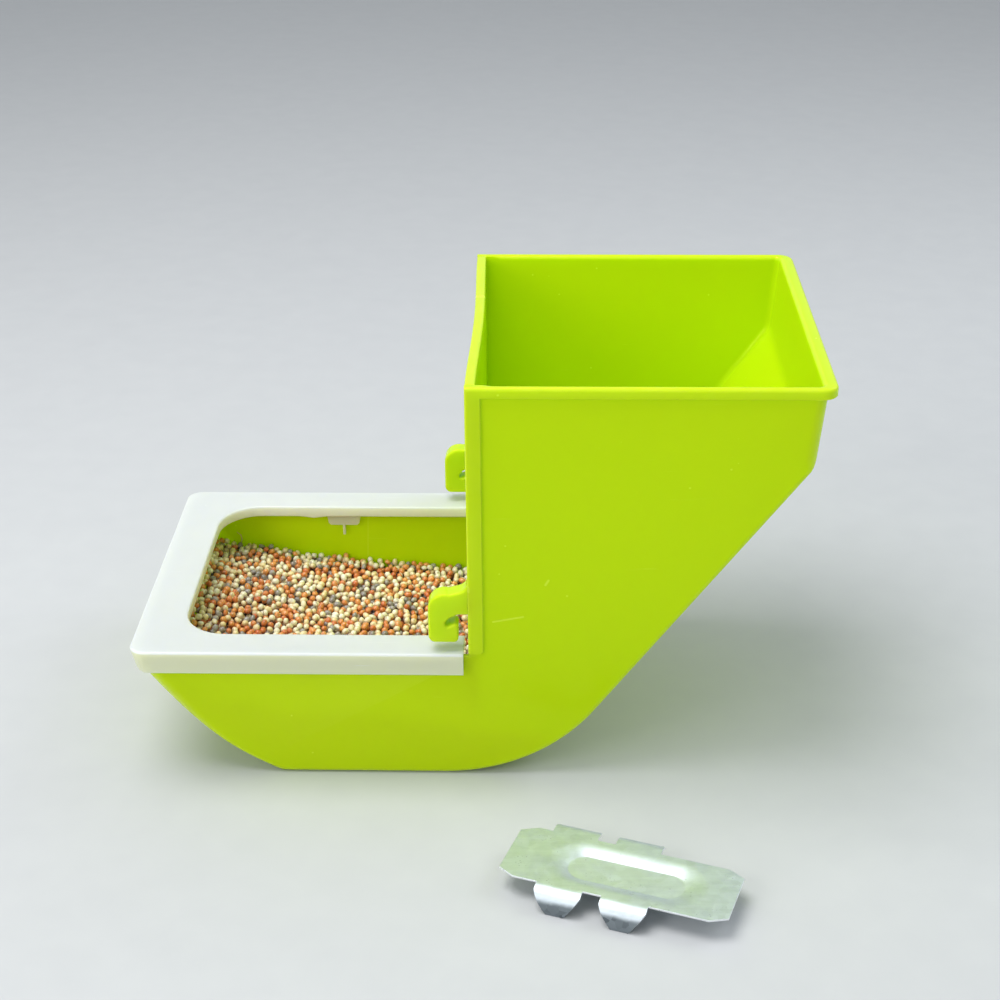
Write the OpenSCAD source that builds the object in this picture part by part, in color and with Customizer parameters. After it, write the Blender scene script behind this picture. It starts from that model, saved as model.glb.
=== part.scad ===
// Hopper feeder for a mesh rabbit cage. The hopper stands outside the cage and runs down
// through a throat into an open tray inside it. Two hooks on the cage side of the hopper
// hang on a cage wire, a guard ring snaps over the tray, and a loose sheet clip locks
// the feeder to the mesh.
//
// Frame: X runs from the tray (-X) to the hopper (+X), Y is the width and +Z is up.
// The origin is on the cage side of the hook wall, midway between the hooks, at the
// height of the wire that they hang on. Modules are drawn from the base up and from_base()
// lowers them to that height.

/* [Hopper] */
// Width over the rim
rim_w = 150; // [135:1:180]
// Length of the hopper over the rim, from the cage side
rim_l = 137; // [124:1:165]
// Height from the base to the top of the rim
hopper_h = 176; // [160:1:212]
// Wall thickness of the moulding
wall_t = 2.4; // [2:0.1:3]
// Draft of the side panels, in degrees
side_draft = 2.5; // [1.5:0.1:3]
// Lean of the back wall, in degrees
back_lean = 4.8; // [2:0.2:7]
// Angle of the sloping back above the floor, in degrees
slope_angle = 54.2; // [51:0.1:57]
// Radius that turns the floor into the slope
back_arc_r = 75; // [62:1:84]
// Radius of the bend between the slope and the back wall
back_bend_r = 12; // [6:1:18]
// Distance from the cage side to the end of the flat floor
floor_back = 10.5; // [6:0.5:16]

/* [Rim] */
// Height of the rim bead
rim_h = 4.5; // [3:0.5:6]
// How far the bead stands proud of the side panels
rim_proud = 1; // [0.6:0.1:1.6]
// How far the bead stands proud of the back wall
rim_overhang = 3.2; // [2:0.1:4]
// Corner radius of the bead at the back
rim_corner_r = 6; // [4:0.5:9]
// Width of the strip that runs down each side panel's cage edge
strip_w = 6; // [5:0.5:8]
// Corner radius at the foot of the strip
strip_foot_r = 1.5; // [0.5:0.25:2.5]

/* [Tray] */
// Reach of the tray's rim from the cage side
tray_l = 131; // [118:1:142]
// Height of the tray's rim above the base
tray_h = 58; // [54:1:62]
// Height at which the tray's front turns upright
brow_h = 46; // [42:1:49]
// How far that point lies inside the tray's rim
brow_in = 1.8; // [1:0.1:3]
// Distance from the cage side to the front end of the flat floor
floor_front = 77.5; // [70:0.5:82]
// Radius of the curved front
front_arc_r = 132; // [124:1:142]
// Corner radius of the front, seen from above
front_corner_r = 7; // [4:0.5:10]

/* [Hook wall] */
// Thickness of the hook wall
hook_wall_t = 4; // [3.6:0.1:5]
// Height of the throat under the hook wall
throat_gap = 30; // [24:1:36]
// Thickness of the tongue on each edge of the hook wall
tongue_t = 2; // [1.6:0.1:2.2]
// Depth of the tongue in the side panel's groove
tongue_d = 1.2; // [0.8:0.1:1.4]
// Clearance round the tongue in its groove
tongue_gap = 0.1; // [0.05:0.05:0.2]

/* [Hooks] */
// Height of the wire seat above the base
seat_z = 77.5; // [74:0.5:90]
// Width of one hook
hook_w = 7.7; // [6:0.1:9]
// How far each hook's outer face stays inside the strip
hook_inset = 0.5; // [0.2:0.1:1]
// Reach of the hook from the hook wall
hook_reach = 15.6; // [14:0.2:18]
// Height of the hook above the wire seat
hook_rise = 9.2; // [8:0.1:13]
// Depth of the hook below the wire seat
hook_drop = 12.5; // [11:0.5:13]
// Width of the slot that the wire enters
slot_w = 3.8; // [3:0.1:4.5]
// Width of the hook's hanging arm
arm_w = 6.6; // [5:0.2:7]
// Radius that blends the hook's top into the wall
hook_blend_r = 5; // [4:0.25:6]
// Radius of the hook's nose
hook_nose_r = 6.5; // [4:0.25:7]
// Radius of the hook's lower outer corner
hook_heel_r = 2.8; // [1.5:0.1:3.5]
// Radius of the corner under the lip
hook_toe_r = 1.8; // [1:0.1:2.4]
// Radius of the lip that keeps the wire in
hook_lip_r = 1.3; // [1:0.05:1.5]
// Depth of the lip's top below the wire seat
hook_lip_z = 4; // [3.5:0.1:4.5]

/* [Guard ring] */
// Clearance between the skirt and the tray's sides
ring_gap = 0.45; // [0.3:0.05:0.8]
// Thickness of the side skirts
skirt_t = 2.6; // [2:0.1:3.2]
// Thickness of the top face
ring_t = 2.2; // [1.8:0.1:2.6]
// Height of the skirt
skirt_h = 9.6; // [8:0.2:11]
// Width of the side bars
side_bar_w = 15.6; // [13:0.2:18]
// Width of the front bar
front_bar_w = 19; // [15:0.5:24]
// Reach of the front bar past the tray's rim
ring_nose = 4.5; // [3.5:0.1:6]
// Clearance between the front skirt and the tray's rim
nose_gap = 0.6; // [0.5:0.1:1]
// Gap between the bars' ends and the hook wall
ring_end_gap = 2; // [1:0.5:4]
// Corner radius of the ring's outline
ring_corner_r = 6.5; // [3:0.5:8]
// How far the foot of the front skirt leans in
ring_lean = 2.6; // [1:0.1:3.5]
// Radius at the foot of the front skirt
ring_foot_r = 3; // [1:0.5:4]
// Radius of the top face's front edge
ring_edge_r = 1; // [0.5:0.1:1.5]
// Corner radius of the opening
opening_r = 18; // [12:1:22]
// Thickness of the lip round the opening
lip_t = 2; // [1.6:0.1:2.4]
// Depth of the lip below the top face
lip_h = 5; // [4:0.2:7]
// Distance from the hook wall to the middle of the snap tongues
snap_x = 63; // [40:1:85]
// Width of a snap tongue at its root
snap_w = 16; // [12:0.5:20]
// Length of a snap tongue below the top face
snap_drop = 13; // [10:0.5:15]
// Thickness of a snap tongue
snap_t = 1.6; // [1.2:0.1:2]
// Clearance between a snap tongue and the tray's side panel
snap_gap = 0.9; // [0.5:0.1:1.2]
// Width of the stem below a snap tongue
stem_w = 1.2; // [0.8:0.1:2]
// Length of that stem
stem_l = 5; // [2:0.5:6]

/* [Clip] */
// Length of the clip
clip_l = 88; // [80:1:100]
// Width of the clip's plate
clip_w = 31; // [29:0.5:36]
// Sheet thickness
sheet_t = 0.8; // [0.6:0.1:1.2]
// Height of the plate above the legs' tips
clip_h = 9; // [8:0.5:11]
// Pitch of the legs, the pitch of the cage mesh
leg_pitch = 25; // [24:0.5:26]
// Width of a leg at its root
leg_root_w = 18; // [14:0.5:19]
// Width of a leg at its tip
leg_tip_w = 7; // [5:0.5:9]
// How far the legs splay out from the plate
leg_splay = 6.5; // [5:0.5:7]
// How far the far legs are set back along the clip
far_leg_back = 4; // [0:0.5:5]
// Level root of the far legs before they bend down
far_leg_root = 2.5; // [0:0.5:4]
// Cut corners of the plate, along the clip
corner_cut_l = 6.5; // [4:0.5:9]
// Cut corners of the plate, across the clip
corner_cut_w = 3.5; // [2:0.5:6]
// Length of the pressed recess
recess_l = 60; // [50:1:64]
// Width of the pressed recess
recess_w = 23; // [20:0.5:25]
// Width of the recess's sloping side
recess_side = 5; // [3:0.5:7]
// Depth of the pressed recess
recess_d = 2; // [1:0.1:2.5]
// How far the recess lies off the clip's middle
recess_shift = 2; // [0:0.5:4]
// Place of the clip's centre, along X
clip_x = 59; // [50:1:80]
// Place of the clip's centre in front of the rim
clip_y = 66; // [55:1:90]
// Turn of the clip, in degrees
clip_turn = -19; // [-30:1:30]

/* [Hidden] */
$fn = 96;
eps = 0.01;
over = 1;
arc_steps = 24;

green = [0.66, 0.80, 0.05];
white = [0.90, 0.93, 0.88];
steel = [0.70, 0.74, 0.72];

// Half width of the body's outside at height z
function side_y(z) = rim_w / 2 - rim_proud - tan(side_draft) * (hopper_h - z);

// Points of an arc from angle a0 to a1
function arc(c, r, a0, a1, steps = arc_steps) =
    [for (i = [0:steps]) c + r * [cos(a0 + (a1 - a0) * i / steps), sin(a0 + (a1 - a0) * i / steps)]];

// Point where the line through p along u meets the line through q along v
function crossing(p, u, q, v) =
    p + u * ((q[0] - p[0]) * v[1] - (q[1] - p[1]) * v[0]) / (u[0] * v[1] - u[1] * v[0]);

// Front: an arc through the floor's front end and the brow, where the front turns upright
front_start = [-floor_front, 0];
front_end = [brow_in - tray_l, brow_h];
front_chord = front_end - front_start;
front_side = [front_chord[1], -front_chord[0]] / norm(front_chord);
front_depth = sqrt(pow(front_arc_r, 2) - pow(norm(front_chord) / 2, 2));
front_centre = (front_start + front_end) / 2 + front_side * front_depth;

// Back: an arc from the floor, the slope, a bend and the leaning back wall
back_centre = [-floor_back, back_arc_r];
back_x = rim_l - rim_overhang;
slope_dir = [cos(slope_angle), sin(slope_angle)];
wall_dir = [sin(back_lean), cos(back_lean)];
slope_foot = back_centre + back_arc_r * [sin(slope_angle), -cos(slope_angle)];
bend_corner = crossing(slope_foot, slope_dir, [back_x, hopper_h], wall_dir);
slope_in = [-sin(slope_angle), cos(slope_angle)];
wall_in = [-cos(back_lean), sin(back_lean)];
bend_centre = bend_corner + back_bend_r * (slope_in + wall_in) / (1 + slope_in * wall_in);

// Half width of the tray's outline from above, just wider than its drafted sides
tray_plan_y = side_y(tray_h + 8);
wall_foot_z = wall_t + throat_gap;
strip_foot_z = tray_h + 1.7;
ring_top_z = tray_h + 0.3 + ring_t;
ring_w = 2 * (side_y(tray_h) + ring_gap + skirt_t);
ring_reach = tray_l + ring_nose;
clip_centre = [clip_x, -rim_w / 2 - clip_y, 0];

// Lowers what is drawn from the base to the wire seat's height
module from_base() {
    translate([0, 0, -seat_z]) children();
}

// Extrudes an outline in X and Z across the whole width
module across(width) {
    rotate([90, 0, 0]) linear_extrude(width, center = true) children();
}

// Everything between the side panels' outer faces, moved in by inset
module between_sides(inset, x0, x1) {
    low = -over;
    high = hopper_h + over;
    shift = inset / cos(side_draft);
    translate([x0, 0, 0]) rotate([90, 0, 90]) linear_extrude(x1 - x0)
        polygon([
            [-side_y(low) + shift, low],
            [side_y(low) - shift, low],
            [side_y(high) - shift, high],
            [-side_y(high) + shift, high],
        ]);
}

// Outline of the body from the side, moved in by inset; top and mouth go past the real edges
module side_outline(inset, lift, cage_x) {
    front_r = front_arc_r - inset;
    back_r = back_arc_r - inset;
    bend_r = back_bend_r - inset;
    floor_a = 180 + asin((front_centre[1] - inset) / front_r);
    brow_a = 180 + asin((front_centre[1] - brow_h) / front_r);
    brow = front_centre + front_r * [cos(brow_a), sin(brow_a)];
    rim_x = -tray_l + inset;
    back_top = crossing(
        [0, hopper_h + lift], [1, 0], [back_x, hopper_h] + inset * wall_in, wall_dir);
    polygon(concat(
        [[cage_x, hopper_h + lift], [cage_x, tray_h + lift], [rim_x, tray_h + lift], [rim_x, tray_h]],
        arc(front_centre, front_r, brow_a, floor_a),
        arc(back_centre, back_r, 270, 270 + slope_angle),
        arc(bend_centre, bend_r, 270 + slope_angle, 360 - back_lean, 8),
        [back_top]
    ));
}

// Outline from above, from from_x to to_x, with both corners round at to_x
module round_end(from_x, to_x, half_w, r) {
    core = abs(to_x - from_x) - r;
    translate([from_x, 0]) mirror([to_x < from_x ? 1 : 0, 0]) {
        translate([0, -half_w]) square([core, 2 * half_w]);
        translate([0, -half_w + r]) square([core + r, 2 * (half_w - r)]);
        for (side = [-1, 1])
            translate([core, side * (half_w - r)]) circle(r);
    }
}

// The moulding as a full block, moved in by inset
module body_block(inset, lift, cage_x) {
    intersection() {
        across(2 * rim_w) side_outline(inset, lift, cage_x);
        between_sides(inset, -2 * tray_l, 2 * rim_l);
        translate([0, 0, -over]) linear_extrude(hopper_h + 4 * over) {
            round_end(over, inset - tray_l, tray_plan_y - inset, front_corner_r - inset);
            round_end(-over, back_x - inset, rim_w / 2 - rim_proud - inset,
                      rim_corner_r - rim_proud - inset);
        }
    }
}

// Bead round the top edge, square where it meets the cage side
module rim_bead() {
    translate([0, 0, hopper_h - rim_h]) linear_extrude(rim_h)
        round_end(0, rim_l, rim_w / 2, rim_corner_r);
}

// Strips down the cage edges of both side panels, with a rounded foot
module edge_strips() {
    r = strip_foot_r;
    foot = concat(
        [[0, hopper_h], [0, strip_foot_z]],
        arc([strip_w - r, strip_foot_z + r], r, 270, 360, 6),
        [[strip_w, hopper_h]]
    );
    intersection() {
        across(2 * rim_w) polygon(foot);
        between_sides(-rim_proud, -over, strip_w + over);
    }
}

// Grooves that take the hook wall's tongues
module tongue_grooves() {
    x0 = (hook_wall_t - tongue_t) / 2 - tongue_gap;
    z0 = wall_foot_z - tongue_gap;
    intersection() {
        translate([0, -rim_w, z0]) cube([rim_l, 2 * rim_w, hopper_h]);
        between_sides(wall_t - tongue_d - tongue_gap, x0, x0 + tongue_t + 2 * tongue_gap);
    }
}

// Hopper and tray, one thin moulding that is open at the top and at the cage side
module hopper_body() {
    color(green) from_base() difference() {
        union() {
            body_block(0, 0, 0);
            rim_bead();
            edge_strips();
        }
        body_block(wall_t, over, -over);
        tongue_grooves();
    }
}

// Outline of one hook from the side, from the wire seat's height
module hook_outline() {
    arm_x = -hook_reach + arm_w;
    lip_c = [-slot_w - hook_lip_r, -hook_lip_z - hook_lip_r];
    blend_c = [-hook_blend_r, hook_rise + hook_blend_r + 0.6];
    polygon(concat(
        [[0, 0], [0, blend_c[1]]],
        arc(blend_c, hook_blend_r, 0, -75, 8),
        arc([-hook_reach + hook_nose_r, hook_rise - hook_nose_r], hook_nose_r, 75, 180, 8),
        arc([-hook_reach + hook_heel_r, -hook_drop + hook_heel_r], hook_heel_r, 180, 270, 6),
        arc([-slot_w - hook_toe_r, -hook_drop + hook_toe_r], hook_toe_r, 270, 360, 6),
        arc(lip_c, hook_lip_r, 0, 130, 6),
        [
            [arm_x + 0.9, -hook_lip_z - 1.4],
            [arm_x, -hook_lip_z - 0.8],
            [arm_x + 0.1, -hook_lip_z + 0.3],
            [arm_x + 1.8, -1.4],
            [-slot_w, 0],
        ]
    ));
}

// Wall that closes the cage side of the hopper, with its two hooks
module hook_wall() {
    tongue_x = (hook_wall_t - tongue_t) / 2;
    hook_y = side_y(seat_z) + rim_proud - hook_inset - hook_w / 2;
    color(green) from_base() {
        intersection() {
            translate([0, -rim_w, wall_foot_z]) cube([rim_l, 2 * rim_w, hopper_h - wall_foot_z]);
            union() {
                between_sides(wall_t, 0, hook_wall_t);
                between_sides(wall_t - tongue_d, tongue_x, tongue_x + tongue_t);
            }
        }
        for (side = [-1, 1])
            translate([0, side * hook_y, seat_z]) across(hook_w) hook_outline();
    }
}

// Outline of the ring from above, square at the hook wall's end
module ring_plan(half_w, reach, r) {
    round_end(-ring_end_gap, -reach, half_w, r);
}

// Outline of the ring from the side, with the skirt's leaning front and rounded foot
module ring_side() {
    foot_z = ring_top_z - skirt_h;
    polygon(concat(
        [[0, ring_top_z]],
        arc([-ring_reach + ring_edge_r, ring_top_z - ring_edge_r], ring_edge_r, 90, 180, 6),
        arc([-ring_reach + ring_lean + ring_foot_r, foot_z + ring_foot_r], ring_foot_r, 195, 270, 8),
        [[0, foot_z]]
    ));
}

// Tongue that snaps inside the tray's side panel, with a narrow stem below it
module snap_tongue(side) {
    foot_z = ring_top_z - snap_drop;
    face_y = side_y(foot_z) - wall_t - snap_gap;
    translate([-snap_x, side * (face_y - snap_t / 2), 0]) across(snap_t) {
        polygon([
            [-snap_w / 2, ring_top_z - eps],
            [-snap_w / 2, foot_z + snap_drop / 2],
            [-snap_w / 2 + 1.2, foot_z],
            [snap_w / 2 - 1.2, foot_z],
            [snap_w / 2, foot_z + snap_drop / 2],
            [snap_w / 2, ring_top_z - eps],
        ]);
        translate([-stem_w / 2, foot_z - stem_l]) square([stem_w, stem_l + over]);
    }
}

// Guard ring: a channel that caps the tray's rim on three sides
module guard_ring() {
    half_w = ring_w / 2;
    open_w = half_w - side_bar_w;
    open_reach = ring_reach - front_bar_w;
    foot_z = ring_top_z - skirt_h;
    color(white) from_base() {
        intersection() {
            union() {
                translate([0, 0, ring_top_z - ring_t]) linear_extrude(ring_t)
                    difference() {
                        ring_plan(half_w, ring_reach, ring_corner_r);
                        ring_plan(open_w, open_reach, opening_r);
                    }
                translate([0, 0, foot_z]) linear_extrude(skirt_h)
                    difference() {
                        ring_plan(half_w, ring_reach, ring_corner_r);
                        ring_plan(half_w - skirt_t, tray_l + nose_gap, ring_corner_r - 1);
                    }
                translate([0, 0, ring_top_z - lip_h]) linear_extrude(lip_h)
                    difference() {
                        ring_plan(open_w + lip_t, open_reach + lip_t, opening_r + lip_t);
                        ring_plan(open_w, open_reach, opening_r);
                    }
            }
            across(2 * rim_w) ring_side();
        }
        for (side = [-1, 1])
            snap_tongue(side);
    }
}

// Section of the pressed recess from its centre line to its outer edge
module recess_section() {
    outer = recess_w / 2;
    floor_half = outer - recess_side;
    polygon([
        [0, -recess_d],
        [floor_half, -recess_d],
        [outer, 0],
        [outer + sheet_t, 0],
        [outer + sheet_t, -sheet_t],
        [outer + sheet_t / 2, -sheet_t],
        [floor_half + sheet_t / 2, -recess_d - sheet_t],
        [0, -recess_d - sheet_t],
    ]);
}

// Pressed recess with round ends, its rim level with the plate
module recess() {
    straight = recess_l - recess_w;
    for (end = [-1, 1])
        translate([end * straight / 2, 0, 0]) rotate([0, 0, end > 0 ? -90 : 90])
            rotate_extrude(angle = 180) recess_section();
    for (side = [-1, 1])
        rotate([90, 0, side > 0 ? 90 : -90])
            linear_extrude(straight, center = true) recess_section();
}

// Flat plate with cut corners and a hole where the recess goes
module clip_plate() {
    l = clip_l / 2;
    w = clip_w / 2;
    cut_x = l - corner_cut_l;
    cut_y = w - corner_cut_w;
    straight = recess_l - recess_w;
    translate([0, 0, -sheet_t]) linear_extrude(sheet_t) difference() {
        polygon([
            [-l, -cut_y], [-cut_x, -w], [cut_x, -w], [l, -cut_y],
            [l, cut_y], [cut_x, w], [-cut_x, w], [-l, cut_y],
        ]);
        translate([recess_shift, 0]) {
            square([straight, recess_w], center = true);
            for (end = [-1, 1])
                translate([end * straight / 2, 0]) circle(recess_w / 2);
        }
    }
}

// One leg: after a level root it bends down from the plate's edge and narrows to its tip
module clip_leg(root) {
    bend_r = leg_splay;
    edge = clip_w / 2;
    start = edge + root;
    bend = concat(
        [[edge - over, 0]],
        arc([start, -bend_r], bend_r, 90, 0, 12),
        [[start + bend_r, -clip_h], [start + bend_r - sheet_t, -clip_h]],
        arc([start, -bend_r], bend_r - sheet_t, 0, 90, 12),
        [[edge - over, -sheet_t]]
    );
    taper = [
        [-leg_root_w / 2, 0], [-leg_root_w / 2, -1],
        [-leg_tip_w / 2, -clip_h], [leg_tip_w / 2, -clip_h],
        [leg_root_w / 2, -1], [leg_root_w / 2, 0],
    ];
    intersection() {
        rotate([90, 0, 90]) linear_extrude(leg_root_w, center = true) polygon(bend);
        across(4 * clip_w) polygon(taper);
    }
}

// Sheet clip that straddles the mesh wires, lying loose on its legs beside the feeder
module cage_clip() {
    first_leg = leg_pitch - clip_l / 2;
    color(steel) from_base() translate(clip_centre) rotate([0, 0, clip_turn])
        translate([0, 0, clip_h]) {
            clip_plate();
            translate([recess_shift, 0, 0]) recess();
            for (i = [0, 1])
                translate([first_leg + i * leg_pitch, 0, 0]) {
                    mirror([0, 1, 0]) clip_leg(0);
                    translate([-far_leg_back, 0, 0]) clip_leg(far_leg_root);
                }
        }
}

hopper_body();
hook_wall();
guard_ring();
cage_clip();
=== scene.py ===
"""Finished look of a hopper feeder for a mesh cage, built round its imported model.

Shapes are drawn in millimetres with Z measured up from the feeder's base. Placing a mesh turns
them into metres in the model's own frame, whose origin is at the height of the cage wire.
"""

import logging
import math
from dataclasses import dataclass, replace
from enum import Enum
from typing import Callable, Iterable, Sequence, Union

import bmesh
import bpy
from mathutils import Matrix, Vector
from mathutils.geometry import delaunay_2d_cdt


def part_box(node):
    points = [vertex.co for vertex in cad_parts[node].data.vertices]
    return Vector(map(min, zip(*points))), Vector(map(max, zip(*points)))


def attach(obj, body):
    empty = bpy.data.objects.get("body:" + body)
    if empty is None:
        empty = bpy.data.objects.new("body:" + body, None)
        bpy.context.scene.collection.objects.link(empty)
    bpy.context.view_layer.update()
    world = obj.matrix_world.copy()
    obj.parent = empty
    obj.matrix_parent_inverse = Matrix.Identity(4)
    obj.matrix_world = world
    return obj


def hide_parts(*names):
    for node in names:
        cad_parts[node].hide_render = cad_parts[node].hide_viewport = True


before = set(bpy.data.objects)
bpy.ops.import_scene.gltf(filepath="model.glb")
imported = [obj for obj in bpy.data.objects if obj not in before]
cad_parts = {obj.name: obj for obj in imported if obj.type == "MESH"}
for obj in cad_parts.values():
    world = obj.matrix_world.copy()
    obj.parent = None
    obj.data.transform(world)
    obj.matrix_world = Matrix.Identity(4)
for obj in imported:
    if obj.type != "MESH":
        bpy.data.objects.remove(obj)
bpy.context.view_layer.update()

MM = 0.001
log = logging.getLogger("feeder")

Point = tuple[float, float, float]
Flat = tuple[float, float]
Colour = tuple[float, float, float]


# ---------------------------------------------------------------------------------------------
# Small geometry helpers
# ---------------------------------------------------------------------------------------------


def steps(count: int) -> list[float]:
    """Fractions from 0 to 1 in a number of equal steps."""
    return [i / count for i in range(count + 1)]


def arc(centre: Flat, radius: float, start: float, end: float, count: int) -> list[Flat]:
    """Points of an arc.

    Args:
        centre: Centre of the arc.
        radius: Radius of the arc.
        start: First angle, in degrees.
        end: Last angle, in degrees.
        count: Number of steps.

    Returns:
        The points from the first angle to the last.
    """
    angles = [math.radians(start + (end - start) * t) for t in steps(count)]
    return [(centre[0] + radius * math.cos(a), centre[1] + radius * math.sin(a)) for a in angles]


def quarter(count: int) -> list[tuple[float, float, float]]:
    """Steps of a quarter turn.

    Args:
        count: Number of steps.

    Returns:
        Each step's fraction, and how far its sine and its cosine fall short of 1.
    """
    turns = [(t, t * math.pi / 2) for t in steps(count)]
    return [(t, 1 - math.sin(angle), 1 - math.cos(angle)) for t, angle in turns]


def smooth(value: float, low: float, high: float) -> float:
    """Ease from 0 at low to 1 at high."""
    t = min(1.0, max(0.0, (value - low) / (high - low)))
    return t * t * (3 - 2 * t)


def curve_at(knots: Sequence[Flat], x: float) -> float:
    """Height at x of straight runs through a few knots.

    Args:
        knots: Points of the curve in the order of their x.
        x: Where the curve is read.

    Returns:
        The height, level beyond both ends.
    """
    if x <= knots[0][0]:
        return knots[0][1]
    for (x0, z0), (x1, z1) in zip(knots, knots[1:]):
        if x <= x1:
            return z0 + (z1 - z0) * (x - x0) / (x1 - x0)
    return knots[-1][1]


def crossing(p: Flat, u: Flat, q: Flat, v: Flat) -> Flat:
    """Point where the line through p along u meets the line through q along v."""
    t = ((q[0] - p[0]) * v[1] - (q[1] - p[1]) * v[0]) / (u[0] * v[1] - u[1] * v[0])
    return (p[0] + u[0] * t, p[1] + u[1] * t)


def bisect(gap: Callable[[float], float], low: float, high: float) -> float:
    """Find where a gap that only rises or only falls is nought.

    Args:
        gap: The gap at each place.
        low: Lowest place.
        high: Highest place.

    Returns:
        The place.
    """
    rising = gap(high) > gap(low)
    for _ in range(40):
        middle = (low + high) / 2
        if (gap(middle) > 0) == rising:
            high = middle
        else:
            low = middle
    return (low + high) / 2


class Solid:
    """Vertices and faces of one closed mesh while it is being drawn."""

    def __init__(self) -> None:
        """Start with nothing drawn."""
        self.points: list[Point] = []
        self.wear_and_highlight: list[float] = []
        self.faces: list[list[int]] = []

    def row(self, points: Iterable[Point], wear_and_highlight: Union[float, Sequence[float]] = 0.0) -> list[int]:
        """Add a row of vertices.

        Args:
            points: Places of the vertices.
            wear_and_highlight: How worn the row is, with the painted highlight of rounded edges, one number
                for all or one for each.

        Returns:
            The row's vertex numbers.
        """
        first = len(self.points)
        self.points.extend(points)
        count = len(self.points) - first
        self.wear_and_highlight.extend([wear_and_highlight] * count if isinstance(wear_and_highlight, (int, float)) else wear_and_highlight)
        return list(range(first, first + count))

    def bridge(self, a: Sequence[int], b: Sequence[int], closed: bool = False) -> None:
        """Fill the strip between two rows with as many vertices as each other.

        Args:
            a: One row.
            b: The other row.
            closed: True where the rows are loops.
        """
        last = len(a) if closed else len(a) - 1
        for i in range(last):
            j = (i + 1) % len(a)
            self.faces.append([a[i], a[j], b[j], b[i]])

    def skin(self, rows: Sequence[Sequence[int]], closed: bool = False) -> None:
        """Bridge each row of a list to the next."""
        for a, b in zip(rows, rows[1:]):
            self.bridge(a, b, closed)

    def fill(self, loop: Sequence[int]) -> None:
        """Close a loop of vertices with one face."""
        self.faces.append(list(loop))

    def tube(self, rows: Sequence[Sequence[int]]) -> None:
        """Bridge a list of loops and close both ends.

        Args:
            rows: The loops, in order.
        """
        self.skin(rows, closed=True)
        self.fill(rows[0])
        self.fill(rows[-1])

    def place(self, name: str, seat_z: float, turn: float = 0.0, at: Point = (0, 0, 0)) -> bpy.types.Object:
        """Weld the drawing into an object whose place is in its mesh.

        Args:
            name: Name of the object.
            seat_z: Height of the frame's origin above the base.
            turn: Turn about Z before the move, in degrees.
            at: Move before the frame's origin is taken off.

        Returns:
            The new object, at the origin and unturned.
        """
        mesh = bpy.data.meshes.new(name)
        bm = bmesh.new()
        worn_and_highlit = bm.verts.layers.float.new("wear_and_highlight")
        move = (
            Matrix.Translation(Vector((at[0], at[1], at[2] - seat_z)) * MM)
            @ Matrix.Rotation(math.radians(turn), 4, "Z")
            @ Matrix.Scale(MM, 4)
        )
        for point, wear_and_highlight in zip(self.points, self.wear_and_highlight):
            vert = bm.verts.new(move @ Vector(point))
            vert[worn_and_highlit] = wear_and_highlight
        bm.verts.ensure_lookup_table()
        for face in self.faces:
            bm.faces.new([bm.verts[i] for i in face])
        bmesh.ops.remove_doubles(bm, verts=bm.verts, dist=0.002 * MM)
        bmesh.ops.dissolve_degenerate(bm, edges=bm.edges, dist=0.001 * MM)
        bmesh.ops.recalc_face_normals(bm, faces=bm.faces)
        bm.to_mesh(mesh)
        bm.free()
        made = bpy.data.objects.new(name, mesh)
        bpy.context.scene.collection.objects.link(made)
        return made


def add_modifier(piece: bpy.types.Object, kind: str, **settings: object) -> bpy.types.Modifier:
    """Give a piece a modifier.

    Args:
        piece: The piece.
        kind: Type of the modifier.
        settings: Its settings.

    Returns:
        The modifier.
    """
    made = piece.modifiers.new(kind.title(), kind)
    for key, value in settings.items():
        setattr(made, key, value)
    return made


def settle(piece: bpy.types.Object) -> bpy.types.Object:
    """Turn a piece and its modifiers into one plain mesh.

    Args:
        piece: The piece.

    Returns:
        The same piece.
    """
    bpy.context.view_layer.update()
    evaluated = piece.evaluated_get(bpy.context.evaluated_depsgraph_get())
    mesh = bpy.data.meshes.new_from_object(evaluated)
    piece.modifiers.clear()
    old = piece.data
    piece.data = mesh
    mesh.name = piece.name
    if old.users == 0 and isinstance(old, bpy.types.Mesh):
        bpy.data.meshes.remove(old)
    return piece


def round_edges(
    piece: bpy.types.Object, width: float, segments: int, angle: float, clamp: bool = False
) -> bpy.types.Object:
    """Round a piece's sharp edges with a live bevel.

    Args:
        piece: The piece.
        width: Width of the bevel, in millimetres.
        segments: Faces across it.
        angle: Edges that turn more than this are rounded, in degrees.
        clamp: True where the bevel may not run past its neighbours.

    Returns:
        The same piece.
    """
    limit = {"limit_method": "ANGLE", "angle_limit": math.radians(angle)}
    add_modifier(piece, "BEVEL", width=width * MM, segments=segments, use_clamp_overlap=clamp, **limit)
    return piece


def unite(piece: bpy.types.Object, parts: Sequence[bpy.types.Object]) -> bpy.types.Object:
    """Join closed parts to a piece as one solid.

    Args:
        piece: The solid that the parts join.
        parts: Closed meshes that cross it. They are used up.

    Returns:
        The piece, as one closed mesh.
    """
    for part in parts:
        add_modifier(piece, "BOOLEAN", operation="UNION", solver="MANIFOLD", object=part)
        settle(piece)
        bpy.data.objects.remove(part)
    return piece


def shade(piece: bpy.types.Object, angle: float = 38.0) -> bpy.types.Object:
    """Shade a piece smooth with its flat faces kept flat.

    Args:
        piece: The piece to shade.
        angle: Edges that turn more than this stay sharp, in degrees.

    Returns:
        The same piece.
    """
    for face in piece.data.polygons:
        face.use_smooth = True
    piece.data.set_sharp_from_angle(angle=math.radians(angle))
    add_modifier(piece, "WEIGHTED_NORMAL", keep_sharp=True, weight=80)
    return piece


# ---------------------------------------------------------------------------------------------
# Node graphs
# ---------------------------------------------------------------------------------------------


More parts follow.
